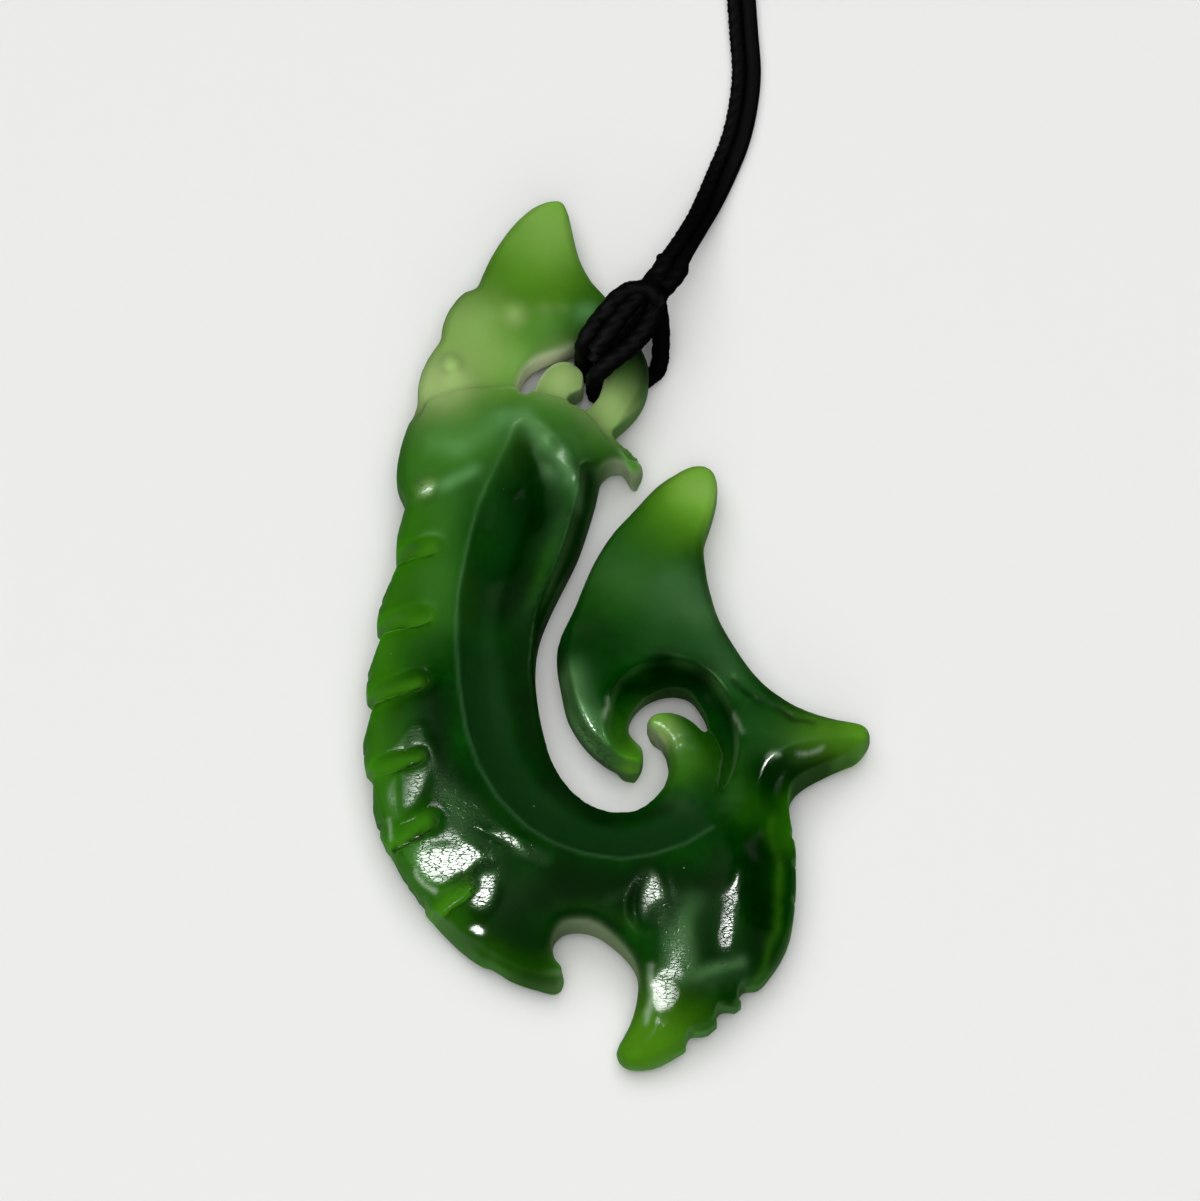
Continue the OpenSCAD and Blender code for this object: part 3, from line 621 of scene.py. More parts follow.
def keepAttribute(obj, name, values):
    layer = obj.data.attributes.new(name, "FLOAT", "POINT")
    layer.data.foreach_set("value", values.astype(np.float32).ravel())


def tint(co, spots, lines):
    # soft places and stripes that run into each other
    rest = np.ones(len(co))
    for x, y, reach, strength in spots:
        rest *= 1 - strength * spotShare(co, x, y, reach)
    for a, b, reach, strength in lines:
        rest *= 1 - strength * lineShare(co, a, b, reach)
    return 1 - rest


def wandered(co, facts):
    # the points moved a little, the same way in each run, so that no tint has a ruled outline
    noise.seed_set(facts["wanderSeed"])
    out = co.copy()
    for i, p in enumerate(co):
        for far, scale in facts["wander"]:
            out[i] += far * mm * np.array(noise.noise_vector(Vector(p) * scale))
    return out


# Soft places, [x, y, reach, strength], and stripes, [(x, y), (x, y), reach, strength], of each tint and
# finish; some are painted light and painted shade
tintSpots = {
    # yellow-green at the thin tips: the stone's own lighter colour, and painted light shining through it
    "tips": [
        (-4.6, 32.5, 5, 0.9), (-6, 28.5, 4.5, 0.4), (-6.5, 25.5, 4, 0.3), (-10.5, 22, 3.4, 0.7),
        (-8, 19.5, 3, 0.6), (6.2, 11.5, 3.2, 1), (6, 9.8, 2.4, 0.9), (4.5, 8, 3, 0.3), (17.5, -7.8, 3, 0.6),
        (14.5, -9, 2.6, 0.3), (1.4, -31.3, 3.6, 0.4), (3.6, -29.8, 2.6, 0.25), (2.8, -7.8, 1.4, 0.9),
        (1, -10.8, 1, 0.7), (4.8, -10.5, 1.6, 0.15),
    ],
    # milky pale stone; the small spots on the brow and at the dome's left are painted highlights
    "milk": [
        (-13, 18.4, 3, 1), (-4, 18.8, 2.2, 1), (-0.4, 16.6, 2.2, 0.8), (-11, 23, 3, 0.5), (-9, 20, 2.5, 0.35),
        (-5, 31, 3.5, 0.35), (-13.6, 9.8, 0.7, 0.5), (-7.4, 23.4, 0.7, 0.8), (-4, 24.3, 0.5, 0.35),
        (-5.4, 24.2, 0.6, 0.3), (3.3, -8.3, 1, 0.6), (-11.9, 18.7, 1.2, 0.8), (6.1, 10.4, 2, 0.4),
        (4.2, -8.9, 0.8, 0.3),
    ],
    "dome": [
        (-10.5, 15.8, 4, 0.8), (-13.5, 13, 3, 0.55), (-5, 15.8, 3, 0.8), (-1, 13.8, 2.4, 0.55),
        (-11.5, 13.2, 2.6, 0.8), (-5.2, 22.3, 1.7, 0.8), (-3.6, 21.6, 1.2, 0.6), (-7, 21.4, 1.3, 0.4),
    ],
    # painted light: walls round the head's hole and a few other walls painted pale, as light shining through
    # the stone
    "pale": [
        (1, 12.2, 1.6, 0.45), (-5.6, 20.6, 2.6, 1), (-0.6, 19, 1.6, 0.8), (-6.8, 18.6, 1.6, 1),
        (-2, -23.4, 3, 0.22), (1, -25.4, 2, 0.15), (3, -8, 1.5, 0.4),
    ],
}
tintLines = {
    # lighter green along the thin edges: the stone's own lighter colour, and painted light shining through it
    "edge": [
        ((-15.5, 8), (-17.3, -2), 2.6, 0.8), ((-17.3, -2), (-17.6, -11), 2.4, 0.8),
        ((-17.6, -11), (-14.6, -18.5), 2.2, 0.8), ((-14.6, -18.5), (-8.5, -25.2), 1.4, 0.6),
        ((-8.5, -25.2), (-5, -26), 1.2, 0.3), ((12.6, -13.5), (12.2, -16.5), 1.2, 0.5),
        ((-13.5, 12), (-13, 1), 2.8, 0.6), ((3, 9), (0.6, 3), 3, 0.3), ((4.6, -9.5), (4.6, -11.5), 1.6, 0.6),
        ((7.8, -11.5), (9.6, -15), 1.4, 0.25),
    ],
    # the thick stone's deep green, darkened further as painted shade in the scoop, the ring, the recess, the
    # valleys and the hollows
    "core": [
        ((-12.9, -6), (-12, -12.6), 1, 0.9), ((-6.3, 12.4), (-6, 8), 1.7, 0.7), ((-6, 8), (-7.9, 2), 2, 0.8),
        ((-7.9, 2), (-7, -6), 1.8, 0.6), ((-7, -6), (-4.6, -11.5), 1.6, 0.7),
        ((-4.6, -12), (-1, -15), 1.3, 0.9), ((-1, -15), (3.6, -14.4), 1.1, 0.7),
        ((-3.4, 21.6), (-1.4, 22.2), 1.3, 0.6), ((-9.6, -22.6), (-4.8, -24.8), 1.5, 0.6),
        ((-2, 11), (-2.8, 5), 1, 0.9), ((-2.8, 5), (-5, 0), 1, 0.9), ((-5, 0), (-6.2, -6), 1, 0.9),
        ((-7.5, -21.5), (-4, -20.4), 2.4, 0.7), ((-4, -20.4), (2, -20.4), 2.2, 0.9),
        ((2, -20.4), (7, -20), 1.8, 0.8), ((6.6, -20), (6.6, -25), 1.2, 0.7),
        ((9.8, -17), (10.2, -24.5), 1.5, 0.9), ((1, -4.9), (3.5, -3.8), 1.2, 1),
        ((3.5, -3.8), (6, -4.6), 1.2, 1), ((6, -4.6), (7.8, -7.4), 1.1, 0.8),
        ((7.8, -7.4), (8.1, -12), 0.9, 0.35), ((-4.4, -1), (-4.1, -7), 0.7, 0.9),
        ((-4.1, -7), (-2, -10.6), 0.7, 0.8), ((10.4, -12.2), (14.4, -10.6), 1.4, 0.8),
        ((13, -12.2), (16.8, -10), 1, 0.9), ((-9.6, -25.6), (-4.6, -27), 1.1, 0.8),
        ((1.6, 20.6), (2.2, 19.2), 1.6, 1), ((5.2, -28), (8.4, -26), 1.6, 0.5),
    ],
    "notch": [
        ((-16.4, 4.8), (-13.2, 5.4), 0.55, 0.9), ((-17.4, -0.5), (-13.8, 0), 0.55, 0.9),
        ((-18, -5.7), (-14, -4.9), 0.55, 0.9), ((-18.2, -11.2), (-14.1, -10.6), 0.55, 0.9),
        ((-16.9, -17), (-13.2, -15.3), 0.55, 0.9), ((-13.5, -21.7), (-10.5, -19.9), 0.55, 0.9),
        ((10.9, -15), (11.3, -18.5), 0.18, 0.3), ((11.3, -18.5), (11.4, -23), 0.18, 0.35),
        ((11.4, -23), (9.8, -27), 0.18, 0.35),
    ],
    # painted sheen and highlights: pale bands and lines where the polish catches the light
    "haze": [
        ((4.6, -24.2), (5.2, -22), 1.1, 0.18), ((-13.2, 13.1), (-11.4, 13), 1, 0.35),
        ((-11.4, 13), (-8.2, 14.8), 0.9, 0.25), ((-8.2, 14.8), (-6.6, 15), 0.7, 0.5),
        ((-6.3, 14.5), (-5, 13), 0.5, 0.5), ((-5, 13), (-3.2, 10.9), 0.5, 0.4),
        ((-3.2, 10.9), (-2.8, 8.8), 0.4, 0.3), ((-12.2, 10), (-10.3, 10.9), 0.45, 0.8),
        ((-2, 24), (0, 23), 0.8, 0.6), ((-3.2, -4), (-2.5, -8), 0.9, 0.3), ((0.3, 3.6), (3.5, 1.4), 2.2, 0.1),
        ((4.4, 3), (6, 0.6), 1.6, 0.2), ((6, 0.6), (8.2, -4), 1.4, 0.1), ((-2.5, -8), (-1.2, -11), 0.9, 0.75),
        ((5.8, -26.6), (8.6, -25.6), 0.35, 0.5),
    ],
    # satin finish, and the same places carry a painted sheen in the colour
    "satin": [
        ((-3, -3.5), (-2.3, -7.5), 1.2, 0.8), ((-2.3, -7.5), (-0.8, -10.4), 1.2, 1),
        ((-12.4, 9), (-12.6, 0), 1.8, 0.8), ((-10.8, 13.2), (-7.6, 15.6), 2, 0.8),
        ((-3.6, 13), (-4, 6), 1.6, 0.5), ((4.6, -22.8), (4.2, -26), 1.3, 0.5), ((1, 6), (5, -2), 3.5, 0.6),
        ((12, -8.5), (15.5, -7.8), 2, 0.5), ((-8, 13), (-9, 8), 1.6, 0.7), ((7.8, -3.6), (9.6, -8), 2, 0.6),
        ((9.4, -9), (8, -13.6), 1.2, 0.5), ((5.5, -26.6), (8.8, -26.4), 0.8, 1),
        ((5, -13.5), (4.4, -10), 1.4, 0.6), ((-12, 19), (-6, 22), 3, 0.2), ((-2.4, -7), (-1.6, -10), 1.2, 1),
    ],
    "hammer": [
        ((-14, -8.4), (-15, -9.8), 0.8, 0.45), ((-14, -11.4), (-14.2, -13.9), 0.55, 0.35),
        ((-16.3, -12.2), (-16.1, -14), 0.3, 0.15), ((-13, -6), (-11.4, -14), 1.5, 0.25),
        ((-12, -13), (-10.6, -16), 0.8, 0.5), ((-13.2, -18), (-9.6, -18.8), 1.5, 1),
        ((-9.4, -18.8), (-9.3, -21), 0.9, 1), ((-10.4, -14.6), (-9.4, -16.4), 0.9, 0.7),
        ((-9.4, -16.7), (-5.2, -18.2), 0.6, 0.8), ((2.4, -20.2), (3.1, -22), 0.9, 0.8),
        ((0.8, -20.6), (-0.8, -21.6), 0.5, 0.5), ((3.6, -22), (4.2, -26), 1.3, 0.5),
        ((3, -26.6), (3.6, -28.2), 0.7, 0.5), ((5.2, -26.4), (8.8, -25.6), 0.7, 0.4),
        ((-3.1, -5), (-2.4, -8), 0.8, 0.25), ((-2.3, -7.8), (-0.9, -10.6), 0.9, 0.9),
        ((8.7, -19.2), (7.8, -23.2), 0.42, 1), ((7.8, -23.2), (7.5, -24.6), 0.2, 0.8),
        ((2.8, -7.9), (4.8, -11.5), 1.1, 0.35), ((-14.2, -15.9), (-15.2, -17), 0.9, 0.35),
        ((-13.4, -19), (-11.4, -20.6), 1, 0.12), ((-8.4, 14.8), (-6, 15), 0.7, 0.25),
        ((-3.6, 12.6), (-3.2, 10.6), 0.7, 0.2), ((-13.8, 10.4), (-13.4, 9.4), 0.7, 0.6),
    ],
    "dull": [
        ((1.6, -32), (4.6, -30), 1.8, 0.6), ((-9.6, -25.6), (-4.6, -27), 1.2, 0.8),
        ((13, -12), (17, -10), 1, 1), ((-16, 4.8), (-13, 5.4), 1.1, 1), ((-17.2, -0.5), (-13.6, 0), 1.1, 1),
        ((-17.8, -5.7), (-13.8, -4.9), 1.1, 1), ((-17, -11), (-14, -10.4), 0.7, 0.8),
        ((-16, -16.4), (-13, -15), 0.9, 0.9), ((-13.2, -21.4), (-10.5, -19.9), 0.8, 0.9),
        ((10.4, -12.4), (11.4, -15.4), 1.4, 1), ((9.6, -16.2), (10.6, -21.5), 1.5, 1),
        ((-7.5, 12.5), (-8.5, 5), 1.4, 0.8), ((7, -6.6), (8, -9.5), 1.6, 0.8),
        ((-10.4, 12.4), (-13, 13), 1.6, 0.6), ((-0.3, -6.4), (1.2, -4.4), 0.9, 1),
        ((1.2, -4.4), (5, -3.8), 0.9, 1), ((5, -3.8), (7.8, -6.6), 0.9, 1), ((7.8, -6.6), (8, -12), 0.9, 0.8),
        ((-6.6, 11), (-6, 8), 1, 1),
    ],
    "polish": [
        ((-10, -22.8), (-9.7, -23.3), 0.6, 1), ((-10.2, 19.3), (-9.8, 18.8), 0.4, 0.6),
        ((10.4, -11.3), (11.6, -10.8), 0.5, 0.9), ((12.3, -10.6), (15, -9.5), 0.5, 0.9),
        ((3.3, -29.4), (3.8, -30.8), 0.4, 0.35), ((2.9, -27.2), (3.2, -28.6), 0.5, 0.9),
    ],
    # painted highlights: thin pale lines on edges that catch the light
    "glint": [
        ((-16.3, -14.4), (-15.9, -16), 0.1, 0.5), ((-14.3, -18.4), (-13, -20.3), 0.12, 0.65),
        ((-0.9, -7.4), (-0.4, -5.9), 0.13, 0.3), ((2.4, -25.6), (2.5, -28), 0.2, 0.4),
        ((2.5, -28), (2, -29.6), 0.2, 0.4), ((10.6, -11), (11.4, -10.6), 0.12, 0.5),
        ((12.6, -10.1), (14.9, -9.4), 0.12, 0.35), ((8.4, -7.2), (8.9, -8.8), 0.13, 0.3),
    ],
    # painted shade: thin dark lines beneath the notches and along the engraved line
    "crevice": [
        ((-16, 4.3), (-13.2, 4.9), 0.16, 0.8), ((-17.2, -1), (-13.6, -0.5), 0.16, 0.8),
        ((-17.8, -6.2), (-13.8, -5.4), 0.16, 0.9), ((-18, -11.7), (-13.9, -11.1), 0.16, 0.9),
        ((-16.7, -17.5), (-12.9, -15.9), 0.16, 0.9), ((-13.2, -22.3), (-9.9, -20.3), 0.16, 0.9),
        ((8.5, -4.6), (10.1, -6.2), 0.16, 0.9), ((10.1, -6.2), (12.5, -7.3), 0.16, 0.9),
        ((12.5, -7.3), (14, -7.7), 0.14, 0.7),
    ],
}
# The scoop's crisp outer edge and its inner one, as in the part's source; a band of painted sheen runs inside
# the first
scoopOuter = [
    (-9.7, 8.8), (-10.3, 6.8), (-10.8, 4.4), (-11.3, 1.5), (-11.4, -1.6), (-11.2, -5.2), (-10.7, -8.6),
    (-9.8, -11.5), (-8.4, -13.9), (-6.5, -15.9), (-4.5, -17.2), (-2.4, -18), (0.3, -18.4), (2.6, -18.1),
    (4.9, -17.3), (6.8, -16),
]
scoopInner = [
    (-2.6, 10.9), (-2.8, 8.5), (-3.6, 5.7), (-4.8, 2.6), (-5.6, -0.6), (-4.7, -4.8), (-4.2, -8),
    (-2.8, -10.6), (-1.4, -12), (-0.3, -12.6), (0.5, -12.8), (1.1, -12.8), (1.8, -12.6), (2.6, -12.2),
    (3.2, -11.4), (3.8, -10.4),
]

# The band of painted sheen, as shares of the way across it, and the pale line of painted highlight on its
# outer edge
bandFacts = {
    "share": 0.55,
    "fade": 0.12,
    "fullBelow": -6,
    "fainterOver": 10,
    "least": 0.35,
    "lineWidth": 0.15,
    "lineStrength": 0.45,
    "lineTop": 9,
    "lineFade": 4,
}


def ringTints(co, facts):
    across = acrossBand(co, scoopOuter, scoopInner)
    py = drawnPlaces(co)[1]
    low = np.clip((facts["fullBelow"] + facts["fainterOver"] - py) / facts["fainterOver"], facts["least"], 1)
    band = np.where(across >= 0, np.clip((facts["share"] - across) / facts["fade"], 0, 1), 0) * low
    line = facts["lineStrength"] * np.exp(-(nearLine(co, scoopOuter) / facts["lineWidth"]) ** 2)
    return band, line * np.clip((facts["lineTop"] - py) / facts["lineFade"], 0, 1)


def paintStone(obj, web, facts):
    co = meshPoints(obj)
    moved = wandered(co, facts)
    depth = stoneDepth(obj, web, facts)
    # painted light: steep walls get a paler side colour, as thin walls lit through the stone
    side = np.clip(facts["sideFrom"] - facts["sideFall"] * np.abs(pointNormals(obj)[:, 2]), 0, 1)
    layers = {"thin": np.clip((facts["thinFrom"] - depth) / facts["thinOver"], 0, 1) ** facts["thinPower"]}
    for name in sorted(set(tintSpots) | set(tintLines)):
        values = tint(moved, tintSpots.get(name, []), tintLines.get(name, []))
        if name == "pale":
            values = values * side
        for i in range(1 if name in facts["fineNames"] else facts["softPasses"]):
            values = relaxed(values[:, None], web, facts["softShare"])[:, 0]
        layers[name] = values
    # less of that painted light where the hollows carry painted shade
    layers["side"] = side * (1 - facts["sideInCore"] * layers["core"])
    layers["band"], layers["line"] = ringTints(co, bandFacts)
    for name, values in layers.items():
        keepAttribute(obj, name, values)


paintStone(stone, stoneWeb, paintFacts)
pick(stone)
bpy.ops.object.shade_smooth()
print("stone painted")


# Materials
def newMaterial(name):
    mat = bpy.data.materials.new(name)
    mat.use_nodes = True
    nodes = mat.node_tree.nodes
    links = mat.node_tree.links
    return mat, nodes, links, nodes["Principled BSDF"]


def addNode(nodes, kind, inputs=None, **values):
    node = nodes.new(kind)
    for key, value in values.items():
        setattr(node, key, value)
    for key, value in (inputs or {}).items():
        node.inputs[key].default_value = value
    return node


def mixColour(nodes, links, share, low, high):
    # low and high are sockets or colours; share is a socket
    node = addNode(nodes, "ShaderNodeMix", data_type="RGBA")
    for socket, value in ((node.inputs[6], low), (node.inputs[7], high)):
        if hasattr(value, "is_linked"):
            links.new(value, socket)
        else:
            socket.default_value = (*value, 1)
    links.new(share, node.inputs[0])
    return node.outputs[2]


def scaledBy(nodes, links, socket, factor, offset=0.0, clamp=True):
    node = addNode(nodes, "ShaderNodeMath", {1: factor, 2: offset}, operation="MULTIPLY_ADD", use_clamp=clamp)
    links.new(socket, node.inputs[0])
    return node.outputs[0]


def combined(nodes, links, operation, first, second, clamp=False):
    node = addNode(nodes, "ShaderNodeMath", operation=operation, use_clamp=clamp)
    links.new(first, node.inputs[0])
    links.new(second, node.inputs[1])
    return node.outputs[0]


def noiseAt(nodes, links, place, scale, detail, roughness, distortion=0.0):
    inputs = {"Scale": scale, "Detail": detail, "Roughness": roughness, "Distortion": distortion}
    node = addNode(nodes, "ShaderNodeTexNoise", inputs)
    links.new(place, node.inputs["Vector"])
    return node


def bumped(nodes, links, height, strength, distance, normal=None):
    # strength is a socket or a number
    node = addNode(nodes, "ShaderNodeBump", {"Distance": distance})
    links.new(height, node.inputs["Height"])
    if hasattr(strength, "is_linked"):
        links.new(strength, node.inputs["Strength"])
    else:
        node.inputs["Strength"].default_value = strength
    if normal is not None:
        links.new(normal, node.inputs["Normal"])
    return node.outputs["Normal"]


def readAttribute(nodes, name):
    return addNode(nodes, "ShaderNodeAttribute", attribute_name=name).outputs["Fac"]


# A noise is (scale, detail, roughness, distortion), and a pair is (factor, offset)
jadeFacts = {
    "deep": (0.0002, 0.02, 0.0002),
    "body": (0.001, 0.056, 0.0006),
    # the paler green of thin stone, partly painted light through it
    "leaf": (0.032, 0.17, 0.003),
    # the yellow-green of thin tips, partly painted light through them
    "tip": (0.14, 0.375, 0.014),
    # milky stone colour, also used for painted highlights
    "milk": (0.34, 0.47, 0.17),
    "dome": (0.055, 0.2, 0.02),
    # the deep green, also the colour of painted shade
    "core": (0.0001, 0.008, 0.0001),
    "notch": (0.065, 0.27, 0.01),
    # the colour of the steep walls' painted light
    "side": (0.09, 0.21, 0.06),
    # the colour of the walls' painted light
    "pale": (0.85, 0.88, 0.62),
    # the pale colour of the painted sheen and highlights
    "haze": (0.14, 0.34, 0.12),
    # the grey-green colour of the painted sheen
    "sheen": (0.016, 0.095, 0.015),
    # the colours of the band's painted sheen and of the edge line's painted highlight
    "band": (0.004, 0.034, 0.005),
    "line": (0.04, 0.12, 0.04),
    "speck": (0.35, 0.5, 0.3),
    # the colour of the painted highlights
    "glint": (0.6, 0.75, 0.55),
    "glossy": 0.004,
    "roughness": 0.42,
    "coatRoughness": 0.13,
    "scatter": 1.1,
    "scatterRadius": (0.5, 1.3, 0.35),
    "scatterWeight": 0.8,
    "mirrorTint": (0.5, 1, 0.42, 1),
    "refraction": 1.6,
    "cloudNoise": (190, 5, 0.6, 0.8),
    "cloudContrast": (2.8, -0.9),
    "mottleNoise": (800, 4, 0.65),
    "mottleContrast": (1.8, -0.75),
    "driftNoise": (900, 3, 0.5),
    "fineNoise": (3200, 3, 0.6),
    "fineStrength": 0.08,
    "fineBump": 0.00005,
    "sideShare": 0.7,
    "sheenShare": 0.55,
    "satinShine": (0.4, 0.1),
    "hammerShine": 0.6,
    "dullShare": 0.5,
    "speckScale": 380,
    "speckEdge": (-60, 2.2),
    "speckChoice": (20, -12),
    "crackScale": 1500,
    "crackEdge": (16, -0.15),
    "crackDrift": 0.0006,
    "crackTurn": 12,
    "crackSquash": (1, 3.2, 1),
    "crackReach": 1.4,
    "crackShade": 0.9,
    "crackBump": 0.000012,
    "hammerStrength": (1.0, 0.02),
    "hammerBump": 0.00003,
}
# The tints that lie over each other, in turn, and the colour of each; some are painted light and painted
# shade
jadeLayers = [("dome", "dome"), ("edge", "leaf"), ("tips", "tip"), ("core", "core"), ("band", "band"),
              ("line", "line"), ("milk", "milk"), ("haze", "haze"), ("notch", "notch"), ("crevice", "core"),
              ("glint", "glint")]


def jadeColour(nodes, links, place, facts):
    cloud = noiseAt(nodes, links, place, *facts["cloudNoise"]).outputs["Fac"]
    cloud = scaledBy(nodes, links, cloud, *facts["cloudContrast"])
    base = mixColour(nodes, links, cloud, facts["deep"], facts["body"])
    # the thin stone painted a paler leaf green: its own lighter green, and painted light shining through it
    base = mixColour(nodes, links, readAttribute(nodes, "thin"), base, facts["leaf"])
    mottle = noiseAt(nodes, links, place, *facts["mottleNoise"]).outputs["Fac"]
    mottle = scaledBy(nodes, links, mottle, *facts["mottleContrast"])
    base = mixColour(nodes, links, mottle, base, facts["deep"])
    # painted sheen: the satin places are mixed towards a grey-green reflection colour
    satin = scaledBy(nodes, links, readAttribute(nodes, "satin"), facts["sheenShare"])
    base = mixColour(nodes, links, satin, base, facts["sheen"])
    for name, colour in jadeLayers:
        base = mixColour(nodes, links, readAttribute(nodes, name), base, facts[colour])
    # painted light on the steep walls, as if lit through
    side = scaledBy(nodes, links, readAttribute(nodes, "side"), facts["sideShare"])
    base = mixColour(nodes, links, side, base, facts["side"])
    # painted light: the pale walls, as if lit through the stone
    base = mixColour(nodes, links, readAttribute(nodes, "pale"), base, facts["pale"])
    # tiny pale specks in a few of the cells
    cells = addNode(nodes, "ShaderNodeTexVoronoi", {"Scale": facts["speckScale"]})
    links.new(place, cells.inputs["Vector"])
    dot = scaledBy(nodes, links, cells.outputs["Distance"], *facts["speckEdge"])
    cellColour = addNode(nodes, "ShaderNodeSeparateColor")
    links.new(cells.outputs["Color"], cellColour.inputs[0])
    chosen = scaledBy(nodes, links, cellColour.outputs[0], *facts["speckChoice"])
    return mixColour(nodes, links, combined(nodes, links, "MULTIPLY", dot, chosen), base, facts["speck"])


def jadeFlats(nodes, links, place, drift, facts):
    # flat little cells with fine cracks between them
    bend = addNode(nodes, "ShaderNodeVectorMath", {3: facts["crackDrift"]}, operation="SCALE")
    links.new(drift.outputs["Color"], bend.inputs[0])
    bent = addNode(nodes, "ShaderNodeVectorMath", operation="ADD")
    links.new(place, bent.inputs[0])
    links.new(bend.outputs[0], bent.inputs[1])
    turn = (0, 0, math.radians(facts["crackTurn"]))
    squash = addNode(nodes, "ShaderNodeMapping", {"Rotation": turn, "Scale": facts["crackSquash"]})
    links.new(bent.outputs[0], squash.inputs["Vector"])
    crack = addNode(nodes, "ShaderNodeTexVoronoi", {"Scale": facts["crackScale"]}, feature="DISTANCE_TO_EDGE")
    links.new(squash.outputs["Vector"], crack.inputs["Vector"])
    return scaledBy(nodes, links, crack.outputs["Distance"], *facts["crackEdge"])


def jade(facts):
    mat, nodes, links, shader = newMaterial("greenstone")
    place = addNode(nodes, "ShaderNodeTexCoord").outputs["Object"]
    base = jadeColour(nodes, links, place, facts)
    shader.inputs["IOR"].default_value = facts["refraction"]
    shader.inputs["Specular Tint"].default_value = facts["mirrorTint"]
    shader.inputs["Subsurface Weight"].default_value = facts["scatterWeight"]
    shader.inputs["Subsurface Radius"].default_value = facts["scatterRadius"]
    shader.inputs["Subsurface Scale"].default_value = facts["scatter"] * mm
    # a soft satin finish, with a hard polish only where the wheel touched it last
    shader.inputs["Roughness"].default_value = facts["roughness"]
    hammered = readAttribute(nodes, "hammer")
    satin = scaledBy(nodes, links, readAttribute(nodes, "satin"), *facts["satinShine"])
    shine = combined(nodes, links, "MAXIMUM", satin, scaledBy(nodes, links, hammered, facts["hammerShine"]))
    dulled = scaledBy(nodes, links, readAttribute(nodes, "dull"), facts["dullShare"])
    links.new(combined(nodes, links, "SUBTRACT", shine, dulled, True), shader.inputs["Specular IOR Level"])
    drift = noiseAt(nodes, links, place, *facts["driftNoise"])
    flats = jadeFlats(nodes, links, place, drift, facts)
    polished = scaledBy(nodes, links, readAttribute(nodes, "polish"), 1, facts["glossy"], False)
    gloss = combined(nodes, links, "MAXIMUM", polished, combined(nodes, links, "MULTIPLY", flats, hammered))
    links.new(gloss, shader.inputs["Coat Weight"])
    shader.inputs["Coat Roughness"].default_value = facts["coatRoughness"]
    shader.inputs["Coat IOR"].default_value = facts["refraction"]
    cracked = scaledBy(nodes, links, hammered, facts["crackReach"])
    cracks = combined(nodes, links, "SUBTRACT", cracked, flats, True)
    base = mixColour(nodes, links, scaledBy(nodes, links, cracks, facts["crackShade"]), base, facts["core"])
    links.new(base, shader.inputs["Base Color"])
    normal = bumped(nodes, links, flats, hammered, facts["crackBump"])
    strength = scaledBy(nodes, links, hammered, *facts["hammerStrength"])
    normal = bumped(nodes, links, drift.outputs["Fac"], strength, facts["hammerBump"], normal)
    fine = noiseAt(nodes, links, place, *facts["fineNoise"])
    normal = bumped(nodes, links, fine.outputs["Fac"], facts["fineStrength"], facts["fineBump"], normal)
    links.new(normal, shader.inputs["Normal"])
    links.new(normal, shader.inputs["Coat Normal"])
    return mat


cordFinishFacts = {
    "colour": (0.0005, 0.0005, 0.0006),
    "paler": 2.2,
    "fibreNoise": (5200, 3, 0.7),
    "roughness": 0.6,
    "shine": 0.1,
    "bumpStrength": 0.5,
    "bump": 0.00006,
}


def waxedCord(facts):
    mat, nodes, links, shader = newMaterial("waxedCord")
    place = addNode(nodes, "ShaderNodeTexCoord").outputs["Object"]
    fibre = noiseAt(nodes, links, place, *facts["fibreNoise"]).outputs["Fac"]
    paler = tuple(facts["paler"] * c for c in facts["colour"])
    base = mixColour(nodes, links, fibre, facts["colour"], paler)
    links.new(base, shader.inputs["Base Color"])
    shader.inputs["Roughness"].default_value = facts["roughness"]
    shader.inputs["Specular IOR Level"].default_value = facts["shine"]
    normal = bumped(nodes, links, fibre, facts["bumpStrength"], facts["bump"])
    links.new(normal, shader.inputs["Normal"])
    return mat


def coat(obj, mat):
    obj.data.materials.clear()
    obj.data.materials.append(mat)


coat(stone, jade(jadeFacts))
cordFinish = waxedCord(cordFinishFacts)
coat(neckCord, cordFinish)
coat(hitch, cordFinish)
print("materials made")

# Table and light
tableFacts = {"size": 6.0, "colour": (0.8, 0.8, 0.79, 1), "roughness": 0.8, "shine": 0.1}


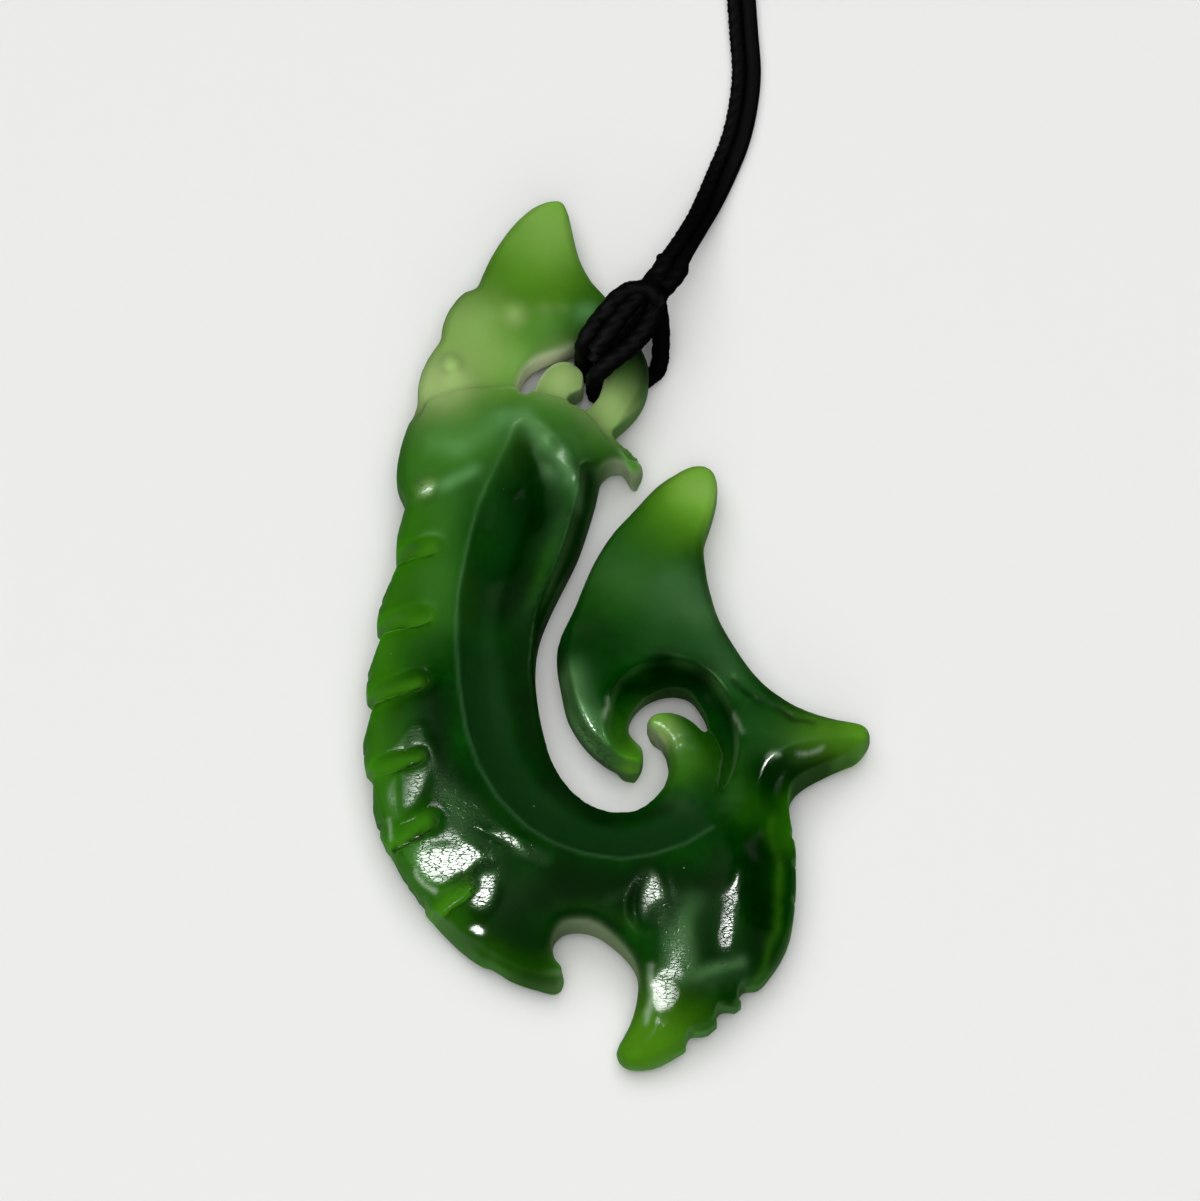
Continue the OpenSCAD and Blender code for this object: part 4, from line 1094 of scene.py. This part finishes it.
def layTable(facts):
    clearSelection()
    bpy.ops.mesh.primitive_plane_add(size=facts["size"], location=(0, 0, 0))
    table = bpy.context.object
    table.name = "table"
    mat, nodes, links, shader = newMaterial("paleTable")
    shader.inputs["Base Color"].default_value = facts["colour"]
    shader.inputs["Roughness"].default_value = facts["roughness"]
    shader.inputs["Specular IOR Level"].default_value = facts["shine"]
    coat(table, mat)
    table.visible_glossy = False


layTable(tableFacts)

# Lights, each [direction from the carving, distance, size, brightness]: wide ones that light the table
# and the stone evenly, and ones that are only seen mirrored in the polish
lightsAim = (0, 0, 0.004)
worldFacts = {"colour": (1, 1, 1, 1), "strength": 0.03}
wideLights = {
    "mainBox": ((-0.05, 0.2, 0.98), 1.1, (1.2, 1.4), 2.2),
    "frontBox": ((0, -0.358, 0.934), 1.0, (0.4, 0.4), 5.4),
    "lowFill": ((0, -0.75, 0.66), 1.1, (1.2, 0.8), 1.0),
}
mirroredLights = {
    "leftWall": ((-0.85, 0.15, 0.5), 1.0, (1.2, 1.0), 0.2),
    "leftWindow": ((-0.62, -0.1, 0.78), 0.9, (0.3, 0.4), 0.6),
    "leftCore": ((-0.6, -0.12, 0.79), 0.9, (0.2, 0.24), 32),
    "rightGlint": ((0.51, 0.03, 0.86), 0.9, (0.07, 0.18), 55),
}


def addLights(lamps, mirrored):
    middle = Vector(lightsAim)
    for name, (way, distance, size, glow) in lamps.items():
        way = Vector(way).normalized()
        bpy.ops.object.light_add(type="AREA", location=middle + way * distance)
        lamp = bpy.context.object
        lamp.name = name
        lamp.data.shape = "RECTANGLE"
        lamp.data.size, lamp.data.size_y = size
        lamp.data.energy = glow * math.pi * size[0] * size[1]
        lamp.rotation_euler = way.to_track_quat("Z", "Y").to_euler()
        lamp.visible_glossy = mirrored
        lamp.visible_diffuse = not mirrored
        lamp.visible_camera = False


addLights(wideLights, False)
addLights(mirroredLights, True)

world = bpy.data.worlds.new("studio")
bpy.context.scene.world = world
world.use_nodes = True
background = world.node_tree.nodes["Background"]
background.inputs["Color"].default_value = worldFacts["colour"]
background.inputs["Strength"].default_value = worldFacts["strength"]
bpy.context.scene.view_settings.view_transform = "Standard"
print("table and light set")
